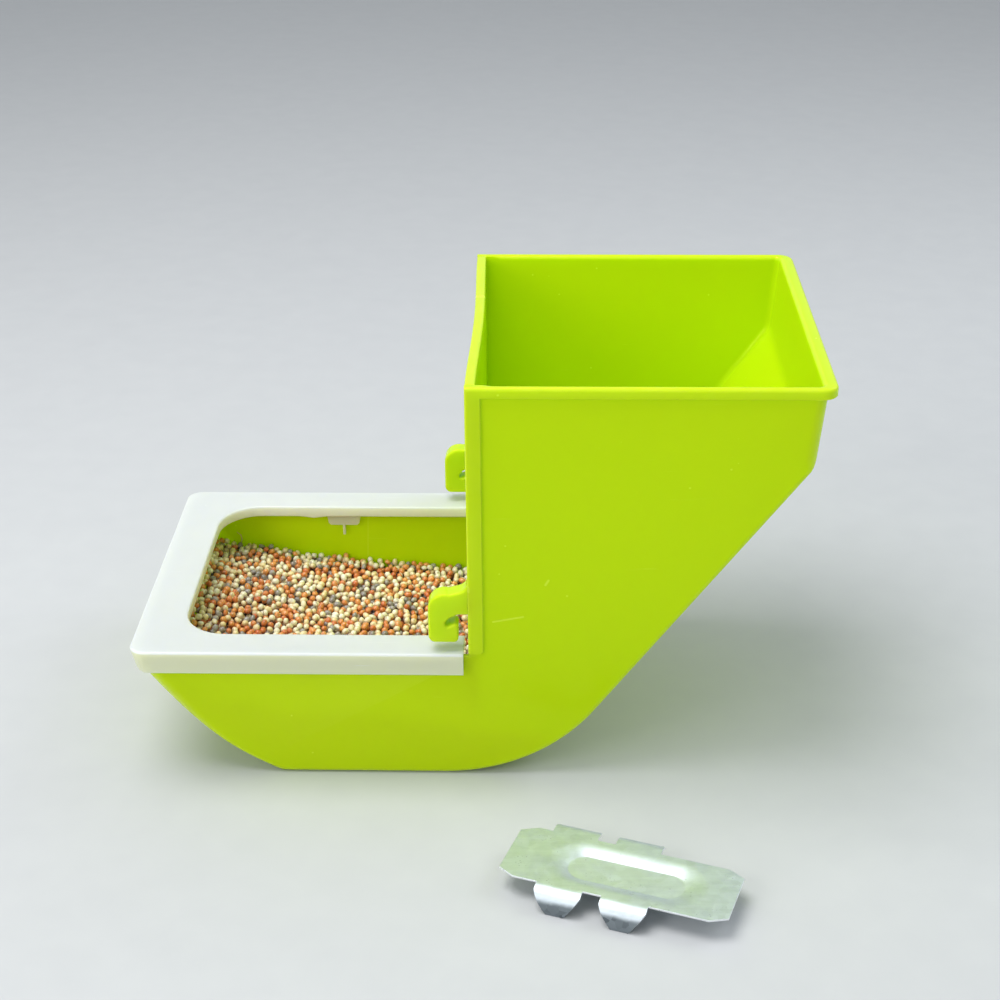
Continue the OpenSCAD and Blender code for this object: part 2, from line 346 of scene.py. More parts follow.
class Wire:
    """An output socket that takes part in sums."""

    def __init__(self, graph: "Graph", socket: bpy.types.NodeSocket) -> None:
        """Wrap an output socket of a graph."""
        self.graph = graph
        self.socket = socket

    def maths(self, operation: str, *values: "Feed") -> "Wire":
        """Result of a Math node on this value and others."""
        inputs = dict(enumerate((self, *values)))
        return self.graph.node("ShaderNodeMath", {"operation": operation}, inputs)

    def __add__(self, other: "Feed") -> "Wire":
        """Sum."""
        return self.maths("ADD", other)

    __radd__ = __add__

    def __mul__(self, other: "Feed") -> "Wire":
        """Product."""
        return self.maths("MULTIPLY", other)

    __rmul__ = __mul__

    def __sub__(self, other: "Feed") -> "Wire":
        """Difference."""
        return self.maths("SUBTRACT", other)

    def __rsub__(self, other: float) -> "Wire":
        """Difference from a number."""
        inputs = {0: other, 1: self}
        return self.graph.node("ShaderNodeMath", {"operation": "SUBTRACT"}, inputs)

    def step(self, low: float, high: float) -> "Wire":
        """Ease from 0 at low to 1 at high."""
        inputs = {"Value": self, "From Min": low, "From Max": high}
        return self.graph.node("ShaderNodeMapRange", {"interpolation_type": "SMOOTHSTEP"}, inputs)


Feed = Union[Wire, float, int, Sequence[float], bool, str, bpy.types.ID]


class Graph:
    """A node tree that is built by one method call for each node."""

    def __init__(self, tree: bpy.types.NodeTree) -> None:
        """Wrap a node tree."""
        self.tree = tree

    def node(
        self,
        kind: str,
        settings: dict[str, object] | None = None,
        inputs: dict[int | str, Feed] | None = None,
        output: int | str = 0,
    ) -> Wire | None:
        """Add a node.

        Args:
            kind: Type of the node.
            settings: Settings of the node, set before its sockets; stops sets a ramp's stops.
            inputs: Values or wires by the socket's name or number.
            output: Output socket to hand back.

        Returns:
            The chosen output as a wire, or None for a node without outputs.
        """
        made = self.tree.nodes.new(kind)
        for key, value in (settings or {}).items():
            if key == "stops":
                self.set_stops(made.color_ramp, value)
            else:
                setattr(made, key, value)
        for key, value in (inputs or {}).items():
            self.feed(made.inputs[key], value)
        return Wire(self, made.outputs[output]) if len(made.outputs) else None

    def feed(self, socket: bpy.types.NodeSocket, value: Feed) -> None:
        """Link a wire to a socket, or set the socket's value.

        Args:
            socket: The input socket.
            value: A wire to link, or a plain value; a colour may leave out its alpha.
        """
        if isinstance(value, Wire):
            self.tree.links.new(value.socket, socket)
        elif socket.type == "RGBA" and len(value) == 3:
            socket.default_value = (*value, 1.0)
        else:
            socket.default_value = value

    @staticmethod
    def set_stops(ramp: bpy.types.ColorRamp, stops: Sequence[tuple[float, Colour]]) -> None:
        """Replace a ramp's stops.

        Args:
            ramp: The ramp.
            stops: Place and colour of each stop.
        """
        while len(ramp.elements) < len(stops):
            ramp.elements.new(0.5)
        for element, (place, colour) in zip(ramp.elements, stops):
            element.position = place
            element.color = (*colour, 1.0)

    def blend(self, factor: Feed, a: Feed, b: Feed, how: str = "MIX") -> Wire:
        """Mix two colours by a factor."""
        settings = {"data_type": "RGBA", "blend_type": how}
        return self.node("ShaderNodeMix", settings, {0: factor, 6: a, 7: b}, output=2)

    def vector(self, operation: str, *values: Feed, output: int = 0, scale: Feed | None = None) -> Wire:
        """Result of a Vector Math node.

        Args:
            operation: What the node does.
            values: Its vectors.
            output: 0 for a vector result and 1 for a number.
            scale: Factor, for the operation that scales.

        Returns:
            The result.
        """
        inputs: dict[int | str, Feed] = dict(enumerate(values))
        if scale is not None:
            inputs["Scale"] = scale
        return self.node("ShaderNodeVectorMath", {"operation": operation}, inputs, output)


class SurfaceGraph(Graph):
    """A material's node tree, with the patterns that finishes are drawn from."""

    def place(self, turn: float = 0.0, stretch: Colour = (1, 1, 1)) -> Wire:
        """Object coordinates, turned about Z and stretched.

        Args:
            turn: Turn about Z, in degrees.
            stretch: Scale along each axis after the turn.

        Returns:
            The coordinates.
        """
        spot = self.node("ShaderNodeTexCoord", output="Object")
        inputs = {"Vector": spot, "Rotation": (0, 0, math.radians(turn)), "Scale": stretch}
        return self.node("ShaderNodeMapping", {"vector_type": "POINT"}, inputs)

    def attribute(self, name: str, output: str = "Fac") -> Wire:
        """Attribute that is stored on the mesh."""
        return self.node("ShaderNodeAttribute", {"attribute_name": name}, output=output)

    def axis(self, vector: Wire, name: str) -> Wire:
        """One of a vector's parts: X, Y or Z."""
        return self.node("ShaderNodeSeparateXYZ", inputs={"Vector": vector}, output=name)

    def noise(self, vector: Wire, scale: float, detail: float = 3.0, rough: float = 0.5) -> Wire:
        """Cloudy pattern between 0 and 1."""
        inputs = {"Vector": vector, "Scale": scale, "Detail": detail, "Roughness": rough}
        return self.node("ShaderNodeTexNoise", inputs=inputs)

    def cells(self, vector: Wire, scale: float, feature: str = "F1", output: str = "Distance") -> Wire:
        """Cell pattern."""
        inputs = {"Vector": vector, "Scale": scale}
        return self.node("ShaderNodeTexVoronoi", {"feature": feature}, inputs, output)

    def stroke(self, spot: Wire, mark: "Mark") -> Wire:
        """Soft line between two places.

        Args:
            spot: Object coordinates.
            mark: The line.

        Returns:
            1 on the line and 0 away from it.
        """
        run = Vector(mark.end) - Vector(mark.start)
        away = self.vector("SUBTRACT", spot, mark.start)
        along = self.vector("DOT_PRODUCT", away, tuple(run), output=1) * (1 / run.length_squared)
        along = along.maths("MAXIMUM", 0.0).maths("MINIMUM", 1.0)
        nearest = self.vector("SCALE", tuple(run), scale=along)
        gap = self.vector("DISTANCE", away, nearest, output=1)
        return 1.0 - gap.step(mark.half_width * 0.35, mark.half_width)

    def bump(self, height: Wire, strength: float, distance: float) -> Wire:
        """Normal that follows a height pattern."""
        inputs = {"Height": height, "Strength": strength, "Distance": distance}
        return self.node("ShaderNodeBump", inputs=inputs)

    def surface(self, **sockets: Feed) -> Wire:
        """Principled shader; a socket's name has _ for each space."""
        inputs = {key.replace("_", " "): value for key, value in sockets.items()}
        return self.node("ShaderNodeBsdfPrincipled", inputs=inputs)


# ---------------------------------------------------------------------------------------------
# Finishes
# ---------------------------------------------------------------------------------------------


@dataclass(frozen=True)
class Finish:
    """A surface finish: a material whose look is drawn by its nodes."""

    name: str

    def material(self) -> bpy.types.Material:
        """Make the finish, once for all the pieces that have it.

        Returns:
            The finished material.
        """
        known = bpy.data.materials.get(self.name)
        if known is not None:
            return known
        made = bpy.data.materials.new(self.name)
        made.use_nodes = True
        made.node_tree.nodes.clear()
        look = SurfaceGraph(made.node_tree)
        look.node("ShaderNodeOutputMaterial", inputs={"Surface": self.draw(look)})
        return made

    def draw(self, look: SurfaceGraph) -> Wire:
        """Draw the finish; each finish has its own."""
        raise NotImplementedError


@dataclass(frozen=True)
class Mark:
    """Fine line on a surface, in metres in the model's frame."""

    start: Point
    end: Point
    half_width: float
    strength: float


@dataclass(frozen=True)
class Moulding(Finish):
    """Glossy moulded plastic with flow clouds, fine peel, hairlines, dust, worn edges with a painted
    highlight, and a painted glow on side faces below side_from.
    """

    pale: Colour
    deep: Colour
    # Pale colour of worn edges, scratches and dust, also used as a painted highlight on rounded edges.
    worn_and_highlit: Colour
    gloss: float = 0.2
    matt: float = 0.34
    specular: float = 0.4
    sheen_of: Colour = (1.0, 1.0, 1.0)
    glow: float = 0.6
    glow_depth: Colour = (1.0, 1.0, 0.4)
    glow_scale: float = 0.008
    # Painted glow: the side faces below side_from take a warm multiplier, and the thin walls near the front
    # take a brighter one.
    painted_side_glow: Colour = (1.0, 1.0, 1.0)
    side_from: float = -1.0
    painted_thin_glow: Colour = (1.0, 1.0, 1.0)
    thin_half: float = 1.0
    thin_reach: float = 1.0
    blur: float = 0.0003
    cloud_scale: float = 9.0
    flow_scale: float = 70.0
    peel_scale: float = 900.0
    hair_scale: float = 26.0
    dust_scale: float = 160.0
    wear_and_highlight_scale: float = 140.0
    marks: Sequence[Mark] = ()

    def scratches(self, look: SurfaceGraph, spot: Wire) -> Wire:
        """Patches of hairlines, with the marks of this piece.

        Args:
            look: The material's nodes.
            spot: Object coordinates.

        Returns:
            How strong a scratch is at each place.
        """
        hair = look.noise(look.place(turn=33, stretch=(1, 30, 30)), self.hair_scale, 4.0, 0.62)
        hair = hair.step(0.66, 0.72) * look.noise(spot, 45.0, 1.0).step(0.52, 0.62)
        made = hair * 0.5
        for mark in self.marks:
            made = made.maths("MAXIMUM", look.stroke(spot, mark) * mark.strength)
        return made

    def with_painted_glow(self, look: SurfaceGraph, spot: Wire, colour: Wire) -> Wire:
        """Colour with painted glow tints on the side faces, where light passes through the thin walls.

        Args:
            look: The material's nodes.
            spot: Object coordinates.
            colour: The colour before the tints.

        Returns:
            The colour, with the painted glow below side_from.
        """
        along, across, height = (look.axis(spot, name) for name in "XYZ")
        low = 1.0 - height.step(self.side_from - 0.0012, self.side_from - 0.0004)
        thin = 1.0 - across.maths("ABSOLUTE").step(self.thin_half - self.blur, self.thin_half + self.blur)
        thin = thin * along.step(-self.thin_reach - self.blur, self.blur - self.thin_reach)
        # Painted glow: warmer on the side faces, brighter on the thin walls.
        painted_glow = look.blend(thin, self.painted_side_glow, self.painted_thin_glow)
        return look.blend(low, colour, look.blend(1.0, colour, painted_glow, "MULTIPLY"))

    def draw(self, look: SurfaceGraph) -> Wire:
        """Draw the moulded plastic.

        Args:
            look: The material's nodes.

        Returns:
            The shader.
        """
        spot = look.place()
        clouds = look.noise(spot, self.cloud_scale, 1.0).step(0.15, 0.85)
        flow = look.noise(look.place(turn=20, stretch=(1, 1, 0.22)), self.flow_scale, 3.0)
        peel = look.noise(spot, self.peel_scale, 2.0)
        dust = 1.0 - look.cells(spot, self.dust_scale).step(0.05, 0.09)
        dust = dust * look.noise(spot, 37.0, 1.0).step(0.6, 0.64)
        # Wear and painted highlight: rounded edges marked on the mesh turn pale, broken up by noise.
        wear_and_highlight = 0.35 + look.noise(spot, self.wear_and_highlight_scale, 4.0, 0.6) * 0.9
        wear_and_highlight = look.attribute("wear_and_highlight") * wear_and_highlight.maths("MINIMUM", 1.0)
        marks = self.scratches(look, spot)
        colour = look.blend(clouds * 0.65 + flow * 0.35, self.deep, self.pale)
        # Painted glow on the side faces below side_from.
        colour = self.with_painted_glow(look, spot, colour)
        colour = look.blend(wear_and_highlight * 0.5, colour, self.worn_and_highlit)
        colour = look.blend((marks * 0.75).maths("MAXIMUM", dust * 0.5), colour, self.worn_and_highlit)
        rough = self.gloss + (clouds * 0.5 + flow * 0.5) * (self.matt - self.gloss)
        relief = peel * 0.25 + flow * 0.5 - marks * 0.8
        return look.surface(
            Base_Color=colour,
            Roughness=rough + marks * 0.2 + dust * 0.25,
            Specular_IOR_Level=self.specular,
            Specular_Tint=self.sheen_of,
            Subsurface_Weight=self.glow,
            Subsurface_Radius=self.glow_depth,
            Subsurface_Scale=self.glow_scale,
            Normal=look.bump(relief, 0.16, 0.0003),
        )


@dataclass(frozen=True)
class Galvanised(Finish):
    """Rolled zinc-coated sheet: a faint spangle, fine rolling lines, dull smears, paler worn and highlit
    places, and painted shade on the lower legs near the floor.
    """

    bright: Colour = (0.73, 0.80, 0.85)
    dull: Colour = (0.45, 0.51, 0.54)
    # Painted shade: colour of the lower legs near the floor.
    foot: Colour = (0.085, 0.105, 0.12)
    pitted: Colour = (0.3, 0.33, 0.34)
    # Bare metal, partly a painted highlight, where the mesh's wear and highlight mark is set.
    bare_and_highlit: Colour = (0.95, 0.97, 1.0)
    turn: float = 0.0
    gloss: float = 0.36
    matt: float = 0.54
    metal: float = 0.72
    painted_shade_z: float = -1.0
    line_scale: float = 1500.0
    band_scale: float = 320.0
    spangle_scale: float = 330.0
    pit_scale: float = 700.0

    def draw(self, look: SurfaceGraph) -> Wire:
        """Draw the zinc-coated sheet.

        Args:
            look: The material's nodes.

        Returns:
            The shader.
        """
        spot = look.place(turn=self.turn)
        lines = look.noise(look.place(turn=self.turn, stretch=(0.035, 1, 1)), self.line_scale, 3.0, 0.7)
        broad = look.noise(look.place(turn=self.turn, stretch=(0.08, 1, 1)), self.band_scale, 3.0, 0.6)
        spangle = look.cells(spot, self.spangle_scale, output="Color")
        spangle = look.vector("DOT_PRODUCT", spangle, (0.4, 0.35, 0.25), output=1)
        smear = look.noise(spot, 75.0, 4.0, 0.6).step(0.42, 0.72)
        pits = 1.0 - look.cells(spot, self.pit_scale).step(0.12, 0.24)
        pits = pits * look.noise(spot, 210.0, 2.0).step(0.56, 0.66)
        sheen = (lines * 0.35 + broad * 0.3 + spangle * 0.25 + (1.0 - smear) * 0.3).maths("MINIMUM", 1.0)
        colour = look.blend(sheen, self.dull, self.bright)
        height = look.axis(spot, "Z") + smear * 0.001
        # Painted shade: darker towards the floor below the shade height.
        low = 1.0 - height.step(self.painted_shade_z + 0.0002, self.painted_shade_z + 0.0022)
        colour = look.blend(low * (0.6 + spangle * 0.4), colour, self.foot)
        colour = look.blend(pits * 0.5, colour, self.pitted)
        # Paler where worn, partly a painted highlight.
        colour = look.blend(look.attribute("wear_and_highlight") * 0.75, colour, self.bare_and_highlit)
        rough = self.gloss + (spangle * 0.4 + smear * 0.4 + broad * 0.3) * (self.matt - self.gloss)
        relief = lines * 0.5 + broad * 0.4 + spangle * 0.2 - pits * 0.4
        return look.surface(
            Base_Color=colour,
            Metallic=self.metal,
            Roughness=rough + pits * 0.15,
            Normal=look.bump(relief, 0.22, 0.00012),
        )


@dataclass(frozen=True)
class Grain(Finish):
    """Husked seed coats: cream, russet and slate, each seed with its own shade and eye."""

    cream: Colour = (0.98, 0.77, 0.40)
    pale: Colour = (1.0, 0.95, 0.76)
    russet: Colour = (0.70, 0.15, 0.03)
    amber: Colour = (0.93, 0.38, 0.09)
    slate: Colour = (0.24, 0.205, 0.20)
    ash: Colour = (0.42, 0.38, 0.36)
    eye: Colour = (0.16, 0.08, 0.03)
    husk: Colour = (0.95, 0.86, 0.66)
    red_from: float = 0.5
    slate_from: float = 0.86
    husk_scale: float = 1300.0

    def draw(self, look: SurfaceGraph) -> Wire:
        """Draw the seed coats.

        Args:
            look: The material's nodes.

        Returns:
            The shader.
        """
        tone, depth = look.attribute("tone"), look.attribute("shade")
        coat = look.blend(depth, self.cream, self.pale)
        red = look.blend(depth, self.russet, self.amber)
        slate = look.blend(depth, self.slate, self.ash)
        coat = look.blend(tone.step(self.red_from, self.red_from + 0.002), coat, red)
        coat = look.blend(tone.step(self.slate_from, self.slate_from + 0.002), coat, slate)
        eye = look.vector("DISTANCE", look.attribute("local", "Vector"), (0.0, 0.0, 1.0), output=1)
        coat = look.blend((1.0 - eye.step(0.3, 0.62)) * 0.4, coat, self.eye)
        mottle = look.noise(look.place(), self.husk_scale, 3.0, 0.6)
        coat = look.blend(mottle.step(0.45, 0.75) * 0.3, coat, self.husk)
        return look.surface(
            Base_Color=coat,
            Roughness=0.2 + mottle * 0.2,
            Specular_IOR_Level=0.5,
            Coat_Weight=0.5,
            Coat_Roughness=0.12,
            Normal=look.bump(mottle, 0.2, 0.0002),
        )


@dataclass(frozen=True)
class LooseBed(Finish):
    """What shows between the top seeds: the seeds below them, in shadow."""

    cream: Colour = (0.45, 0.31, 0.14)
    russet: Colour = (0.34, 0.09, 0.02)
    slate: Colour = (0.12, 0.10, 0.10)
    hollow: Colour = (0.03, 0.02, 0.01)
    seed_scale: float = 330.0

    def draw(self, look: SurfaceGraph) -> Wire:
        """Draw the shaded seeds.

        Args:
            look: The material's nodes.

        Returns:
            The shader.
        """
        spot = look.place()
        pick = look.cells(spot, self.seed_scale, output="Color")
        pick = look.vector("DOT_PRODUCT", pick, (0.6, 0.3, 0.1), output=1)
        stops = [(0.0, self.cream), (0.48, self.russet), (0.62, self.slate)]
        colour = look.node("ShaderNodeValToRGB", {"stops": stops}, {"Fac": pick})
        edge = look.cells(spot, self.seed_scale, "DISTANCE_TO_EDGE").step(0.0, 0.12)
        return look.surface(
            Base_Color=look.blend(edge, self.hollow, colour),
            Roughness=0.55 + pick * 0.2,
            Normal=look.bump(edge, 0.7, 0.001),
        )


@dataclass(frozen=True)
class DryStraw(Finish):
    """Pale dry straw with fibres along it."""

    deep: Colour = (0.62, 0.52, 0.20)
    pale: Colour = (0.85, 0.80, 0.45)
    fibre_scale: float = 2500.0

    def draw(self, look: SurfaceGraph) -> Wire:
        """Draw the straw.

        Args:
            look: The material's nodes.

        Returns:
            The shader.
        """
        fibre = look.noise(look.place(stretch=(1, 1, 0.1)), self.fibre_scale, 3.0)
        return look.surface(
            Base_Color=look.blend(fibre, self.deep, self.pale),
            Roughness=0.5 + fibre * 0.2,
            Normal=look.bump(fibre, 0.4, 0.0002),
        )


@dataclass(frozen=True)
class Tabletop(Finish):
    """Pale matt floor."""

    deep: Colour = (0.56, 0.57, 0.58)
    pale: Colour = (0.60, 0.61, 0.615)

    def draw(self, look: SurfaceGraph) -> Wire:
        """Draw the floor.

        Args:
            look: The material's nodes.

        Returns:
            The shader.
        """
        grain = look.noise(look.place(), 60.0, 4.0)
        colour = look.blend(grain, self.deep, self.pale)
        return look.surface(Base_Color=colour, Roughness=0.7 + grain * 0.1, Specular_IOR_Level=0.2)

# ---------------------------------------------------------------------------------------------
# Sizes of the feeder
# ---------------------------------------------------------------------------------------------


@dataclass(frozen=True)
class Sizes:
    """Driving sizes of the feeder, in millimetres and degrees; the first five are the model's."""

    rim_w: float
    rim_l: float
    height: float
    tray_l: float
    seat_z: float
    wall: float = 2.4
    draft: float = 2.5
    back_lean: float = 4.8
    slope: float = 54.2
    back_arc: float = 75.0
    back_bend: float = 12.0
    floor_back: float = 10.5
    bead_h: float = 4.5
    proud: float = 1.0
    overhang: float = 3.2
    rim_corner: float = 6.0
    strip_w: float = 6.0
    strip_foot: float = 59.7
    tray_h: float = 58.0
    brow_h: float = 46.0
    brow_in: float = 1.8
    floor_front: float = 77.5
    front_arc: float = 132.0
    front_corner: float = 7.0
    panel_t: float = 4.0
    throat: float = 30.0

    @classmethod
    def of_model(cls) -> "Sizes":
        """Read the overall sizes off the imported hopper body.

        Returns:
            The sizes.
        """
        low, high = (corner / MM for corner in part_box("hopper_body"))
        return cls(
            rim_w=high.y - low.y,
            rim_l=high.x,
            height=high.z - low.z,
            tray_l=-low.x,
            seat_z=-low.z,
        )

    def half(self, z: float, inset: float = 0.0) -> float:
        """Half width between the drafted sides at height z, moved in by inset."""
        lean = math.tan(math.radians(self.draft)) * (self.height - z)
        return self.rim_w / 2 - self.proud - lean - inset

    def back_x(self, z: float, inset: float = 0.0) -> float:
        """Place of the leaning back wall.

        Args:
            z: Height.
            inset: How far the wall is moved in.

        Returns:
            The place along X.
        """
        lean = math.radians(self.back_lean)
        top = self.rim_l - self.overhang - inset / math.cos(lean)
        return top - math.tan(lean) * (self.height - z)

    @property
    def front_centre(self) -> Flat:
        """Centre of the curved front.

        Returns:
            The centre, along X and Z.
        """
        start, end = (-self.floor_front, 0.0), (self.brow_in - self.tray_l, self.brow_h)
        chord = (end[0] - start[0], end[1] - start[1])
        length = math.hypot(*chord)
        depth = math.sqrt(self.front_arc**2 - (length / 2) ** 2)
        side = (chord[1] / length, -chord[0] / length)
        return ((start[0] + end[0]) / 2 + side[0] * depth, (start[1] + end[1]) / 2 + side[1] * depth)

    def front_x(self, z: float, inset: float = 0.0) -> float:
        """Place of the front.

        Args:
            z: Height.
            inset: How far the front is moved in.

        Returns:
            The place along X.
        """
        centre = self.front_centre
        radius = self.front_arc - inset
        reach = math.sqrt(radius**2 - (centre[1] - min(z, self.brow_h)) ** 2)
        brow = centre[0] - reach
        if z <= self.brow_h:
            return brow
        rim = inset - self.tray_l
        return brow + (rim - brow) * (z - self.brow_h) / (self.tray_h - self.brow_h)

    @property
    def back_centre(self) -> Flat:
        """Centre of the arc that turns the floor into the slope."""
        return (-self.floor_back, self.back_arc)

    @property
    def bend_centre(self) -> Flat:
        """Centre of the bend between the slope and the back wall.

        Returns:
            The centre, along X and Z.
        """
        slope, lean = math.radians(self.slope), math.radians(self.back_lean)
        centre = self.back_centre
        foot = (
            centre[0] + self.back_arc * math.sin(slope),
            centre[1] - self.back_arc * math.cos(slope),
        )
        top = (self.rim_l - self.overhang, self.height)
        along_slope = (math.cos(slope), math.sin(slope))
        along_wall = (math.sin(lean), math.cos(lean))
        corner = crossing(foot, along_slope, top, along_wall)
        a = (-math.sin(slope), math.cos(slope))
        b = (-math.cos(lean), math.sin(lean))
        share = self.back_bend / (1 + a[0] * b[0] + a[1] * b[1])
        return (corner[0] + share * (a[0] + b[0]), corner[1] + share * (a[1] + b[1]))

    def floor_z(self, x: float, inset: float = 0.0) -> float:
        """Height of the body's underside.

        Args:
            x: Place along X.
            inset: How far the underside is moved in.

        Returns:
            The height.
        """
        level = inset
        front, back = self.front_centre, self.back_centre
        if x < -self.floor_front + self.back_bend:
            reach = (self.front_arc - inset) ** 2 - (x - front[0]) ** 2
            if reach > 0:
                level = max(level, front[1] - math.sqrt(reach))
        if x > back[0]:
            reach = (self.back_arc - inset) ** 2 - (x - back[0]) ** 2
            if reach > 0:
                level = max(level, back[1] - math.sqrt(reach))
        return level


# ---------------------------------------------------------------------------------------------
# Hopper and tray
# ---------------------------------------------------------------------------------------------


class Level(Enum):
    """Surface that a point of the rim is measured from."""

    FACE = "outer face of the wall"
    BAND = "outer face of the raised band"
    INNER = "inner face of the wall"


class Side(Enum):
    """Stretch of the open edge that runs round the hopper and the tray."""

    NOOK = "corner where the cage edge meets the tray's rim"
    CAGE = "cage edge of a side panel"
    CORNER = "corner between the cage edge and the top"
    TOP = "top of a side panel"
    BACK = "top of the back wall, corner to corner"
    TRAY = "rim of the tray's side"
    FRONT = "rim of the tray's front, corner to corner"


@dataclass(frozen=True)
class EdgePoint:
    """One place on the open edge, with the shape of the edge there."""

    stretch: Side
    hand: int
    place: float
    band: Flat
    round_over: Flat
    raised: bool = True
    low_round: float = 0.35
    inner_round: float = 0.5


@dataclass
class HopperShell:
    """Hopper and tray as one thin-walled moulding with a raised band round its open edge."""

    sizes: Sizes
    finish: Finish
    corner_steps: int = 6
    across_steps: int = 8
    bead_round: float = 1.5
    cage_round: float = 0.7
    tray_round: float = 0.6
    rim_inner_round: float = 1.7
    base_fillet: float = 2.6
    back_fillet: float = 5.0
    least_fillet: float = 2.6
    foot_round: float = 1.5

    def cross(self, x: float, z: float, normal: Flat, radius: float, inset: float) -> list[Point]:
        """Row of points from one side panel to the other, with rounded corners.

        Args:
            x: Place of the wall on its profile.
            z: Height of the wall on its profile.
            normal: Direction into the body, along X and Z.
            radius: Radius of both corners.
            inset: How far the sides are moved in.

        Returns:
            The points from the near panel to the far one.
        """
        near: list[Point] = []
        for _, back, side in quarter(self.corner_steps):
            px, pz = x + normal[0] * (radius * back), z + normal[1] * (radius * back)
            near.append((px, -self.sizes.half(pz, inset) + radius * side, pz))
        edge = near[-1]
        middle = [(x, edge[1] * (1 - 2 * t), z) for t in steps(self.across_steps)[1:-1]]
        return near + middle + [(px, -y, pz) for px, y, pz in reversed(near)]

    def corner_wear_and_highlight(self, amount: float) -> list[float]:
        """Wear and painted highlight of such a row: only its corners get them."""
        corner = [math.sin(t * math.pi) * amount for t in steps(self.corner_steps)]
        return corner + [0.0] * (self.across_steps - 1) + corner[::-1]

    def profile(self, inset: float, low: float, high: float) -> list[tuple[Flat, float]]:
        """Side profile from the tray's rim, under the floor and up the back, with corner radii.

        Args:
            inset: How far the profile is moved in.
            low: Height where it starts at the front.
            high: Height where it ends at the back.

        Returns:
            Each point with the radius of the corners there.
        """
        s = self.sizes
        radius = s.front_arc - inset
        centre = s.front_centre
        brow = 180 + math.degrees(math.asin((centre[1] - s.brow_h) / radius))
        floor = 180 + math.degrees(math.asin((centre[1] - inset) / radius))
        path: list[tuple[Flat, float]] = [
            ((s.front_x(z, inset), z), s.front_corner)
            for z in (low, (low + s.brow_h) / 2)
        ]
        front = arc(centre, radius, brow, floor, 22)
        for t, point in zip(steps(22), front):
            ease = smooth(t, 0.1, 0.75)
            path.append((point, s.front_corner + (self.base_fillet - s.front_corner) * ease))
        corner = path.pop()[0]
        before = path[-1][0]
        after = (corner[0] + 3.0, inset)
        upper = ((corner[0] * 2 + before[0]) / 3, (corner[1] * 2 + before[1]) / 3)
        lower = ((corner[0] * 2 + after[0]) / 3, inset + (before[1] - inset) * 0.06)
        path.extend((point, self.base_fillet) for point in (upper, lower, after))
        flat = -s.floor_back - after[0]
        path.extend(((after[0] + flat * t, inset), self.base_fillet) for t in (0.3, 0.6, 0.85))
        rise = arc(s.back_centre, s.back_arc - inset, 270, 270 + s.slope, 26)
        path.extend((point, self.base_fillet) for point in rise)
        bend = arc(s.bend_centre, s.back_bend - inset, 270 + s.slope, 360 - s.back_lean, 10)
        end = rise[-1]
        for t in (0.35, 0.7):
            spot = (end[0] + (bend[0][0] - end[0]) * t, end[1] + (bend[0][1] - end[1]) * t)
            path.append((spot, self.base_fillet))
        for t, point in zip(steps(10), bend):
            path.append((point, self.base_fillet + (self.back_fillet - self.base_fillet) * smooth(t, 0, 1)))
        foot = bend[-1][1]
        for t in (0.35, 0.7, 1.0):
            z = foot + (high - foot) * t
            path.append(((s.back_x(z, inset), z), self.back_fillet))
        return path

    def sheath(self, solid: Solid, inset: float, low: float, high: float) -> list[list[int]]:
        """Draw the wall that follows the profile from the tray's rim to the hopper's rim.

        Args:
            solid: The drawing.
            inset: How far the wall is moved in.
            low: Height where it starts at the front.
            high: Height where it ends at the back.

        Returns:
            The rows of vertices, front to back.
        """
        path = self.profile(inset, low, high)
        rows = []
        for i, ((x, z), radius) in enumerate(path):
            if i == 0:
                normal = (1.0, 0.0)
            elif i == len(path) - 1:
                normal = (-1.0, 0.0)
            else:
                (x0, z0), (x1, z1) = path[i - 1][0], path[i + 1][0]
                length = math.hypot(x1 - x0, z1 - z0)
                normal = (-(z1 - z0) / length, (x1 - x0) / length)
            radius = max(radius - max(inset, 0.0), self.least_fillet)
            # The outer rounded corners get wear and painted highlight; the inner wall gets none.
            worn_and_highlit = self.corner_wear_and_highlight(0.5 if inset == 0 else 0.0)
            rows.append(solid.row(self.cross(x, z, normal, radius, inset), worn_and_highlit))
        solid.skin(rows)
        return rows

    def edge_path(self) -> list[EdgePoint]:
        """The open edge: near side up, round the back, far side down, round the tray.

        Returns:
            The places in order, as a closed path.
        """
        s = self.sizes
        cage = (self.cage_round, self.bead_round)
        plain = (self.tray_round, self.tray_round)
        band = (s.strip_w, s.bead_h)
        near = [EdgePoint(Side.NOOK, -1, 0.0, plain, plain, False, 0.0)]
        near.append(EdgePoint(Side.CAGE, -1, s.strip_foot, plain, plain, False, 0.0))
        for _, narrow, up in quarter(5):
            width = s.strip_w - self.foot_round * narrow
            z = s.strip_foot + self.foot_round * up
            near.append(EdgePoint(Side.CAGE, -1, z, (width, s.bead_h), cage))
        rise = s.height - s.strip_foot
        up = (0.15, 0.4, 0.65, 0.9)
        near.extend(EdgePoint(Side.CAGE, -1, s.strip_foot + rise * t, band, cage) for t in up)
        near.append(EdgePoint(Side.CORNER, -1, 0.0, band, cage))
        top = s.back_x(s.height) - s.rim_corner
        near.append(EdgePoint(Side.TOP, -1, s.strip_w + 0.5, band, cage))
        rim = {"inner_round": self.rim_inner_round}
        near.extend(EdgePoint(Side.TOP, -1, top * t, band, cage, **rim) for t in (0.08, 0.35, 0.6, 0.85))
        columns = 2 * self.corner_steps + self.across_steps + 1
        back = [EdgePoint(Side.BACK, 0, i, band, cage, **rim) for i in range(columns)]
        far = [replace(p, hand=1) for p in near]
        run = self.front_corner_x
        tray = [EdgePoint(Side.TRAY, 1, run * t, plain, plain, False, 0.0) for t in (0.2, 0.45, 0.7, 0.9)]
        front = [EdgePoint(Side.FRONT, 0, i, plain, plain, False, 0.0) for i in reversed(range(columns))]
        home = [EdgePoint(Side.TRAY, -1, p.place, plain, plain, False, 0.0) for p in reversed(tray)]
        return near + back + far[::-1] + tray + front + home

    @property
    def front_corner_x(self) -> float:
        """Place where the tray's straight rim turns into the front corner."""
        return self.sizes.front_corner - self.sizes.tray_l

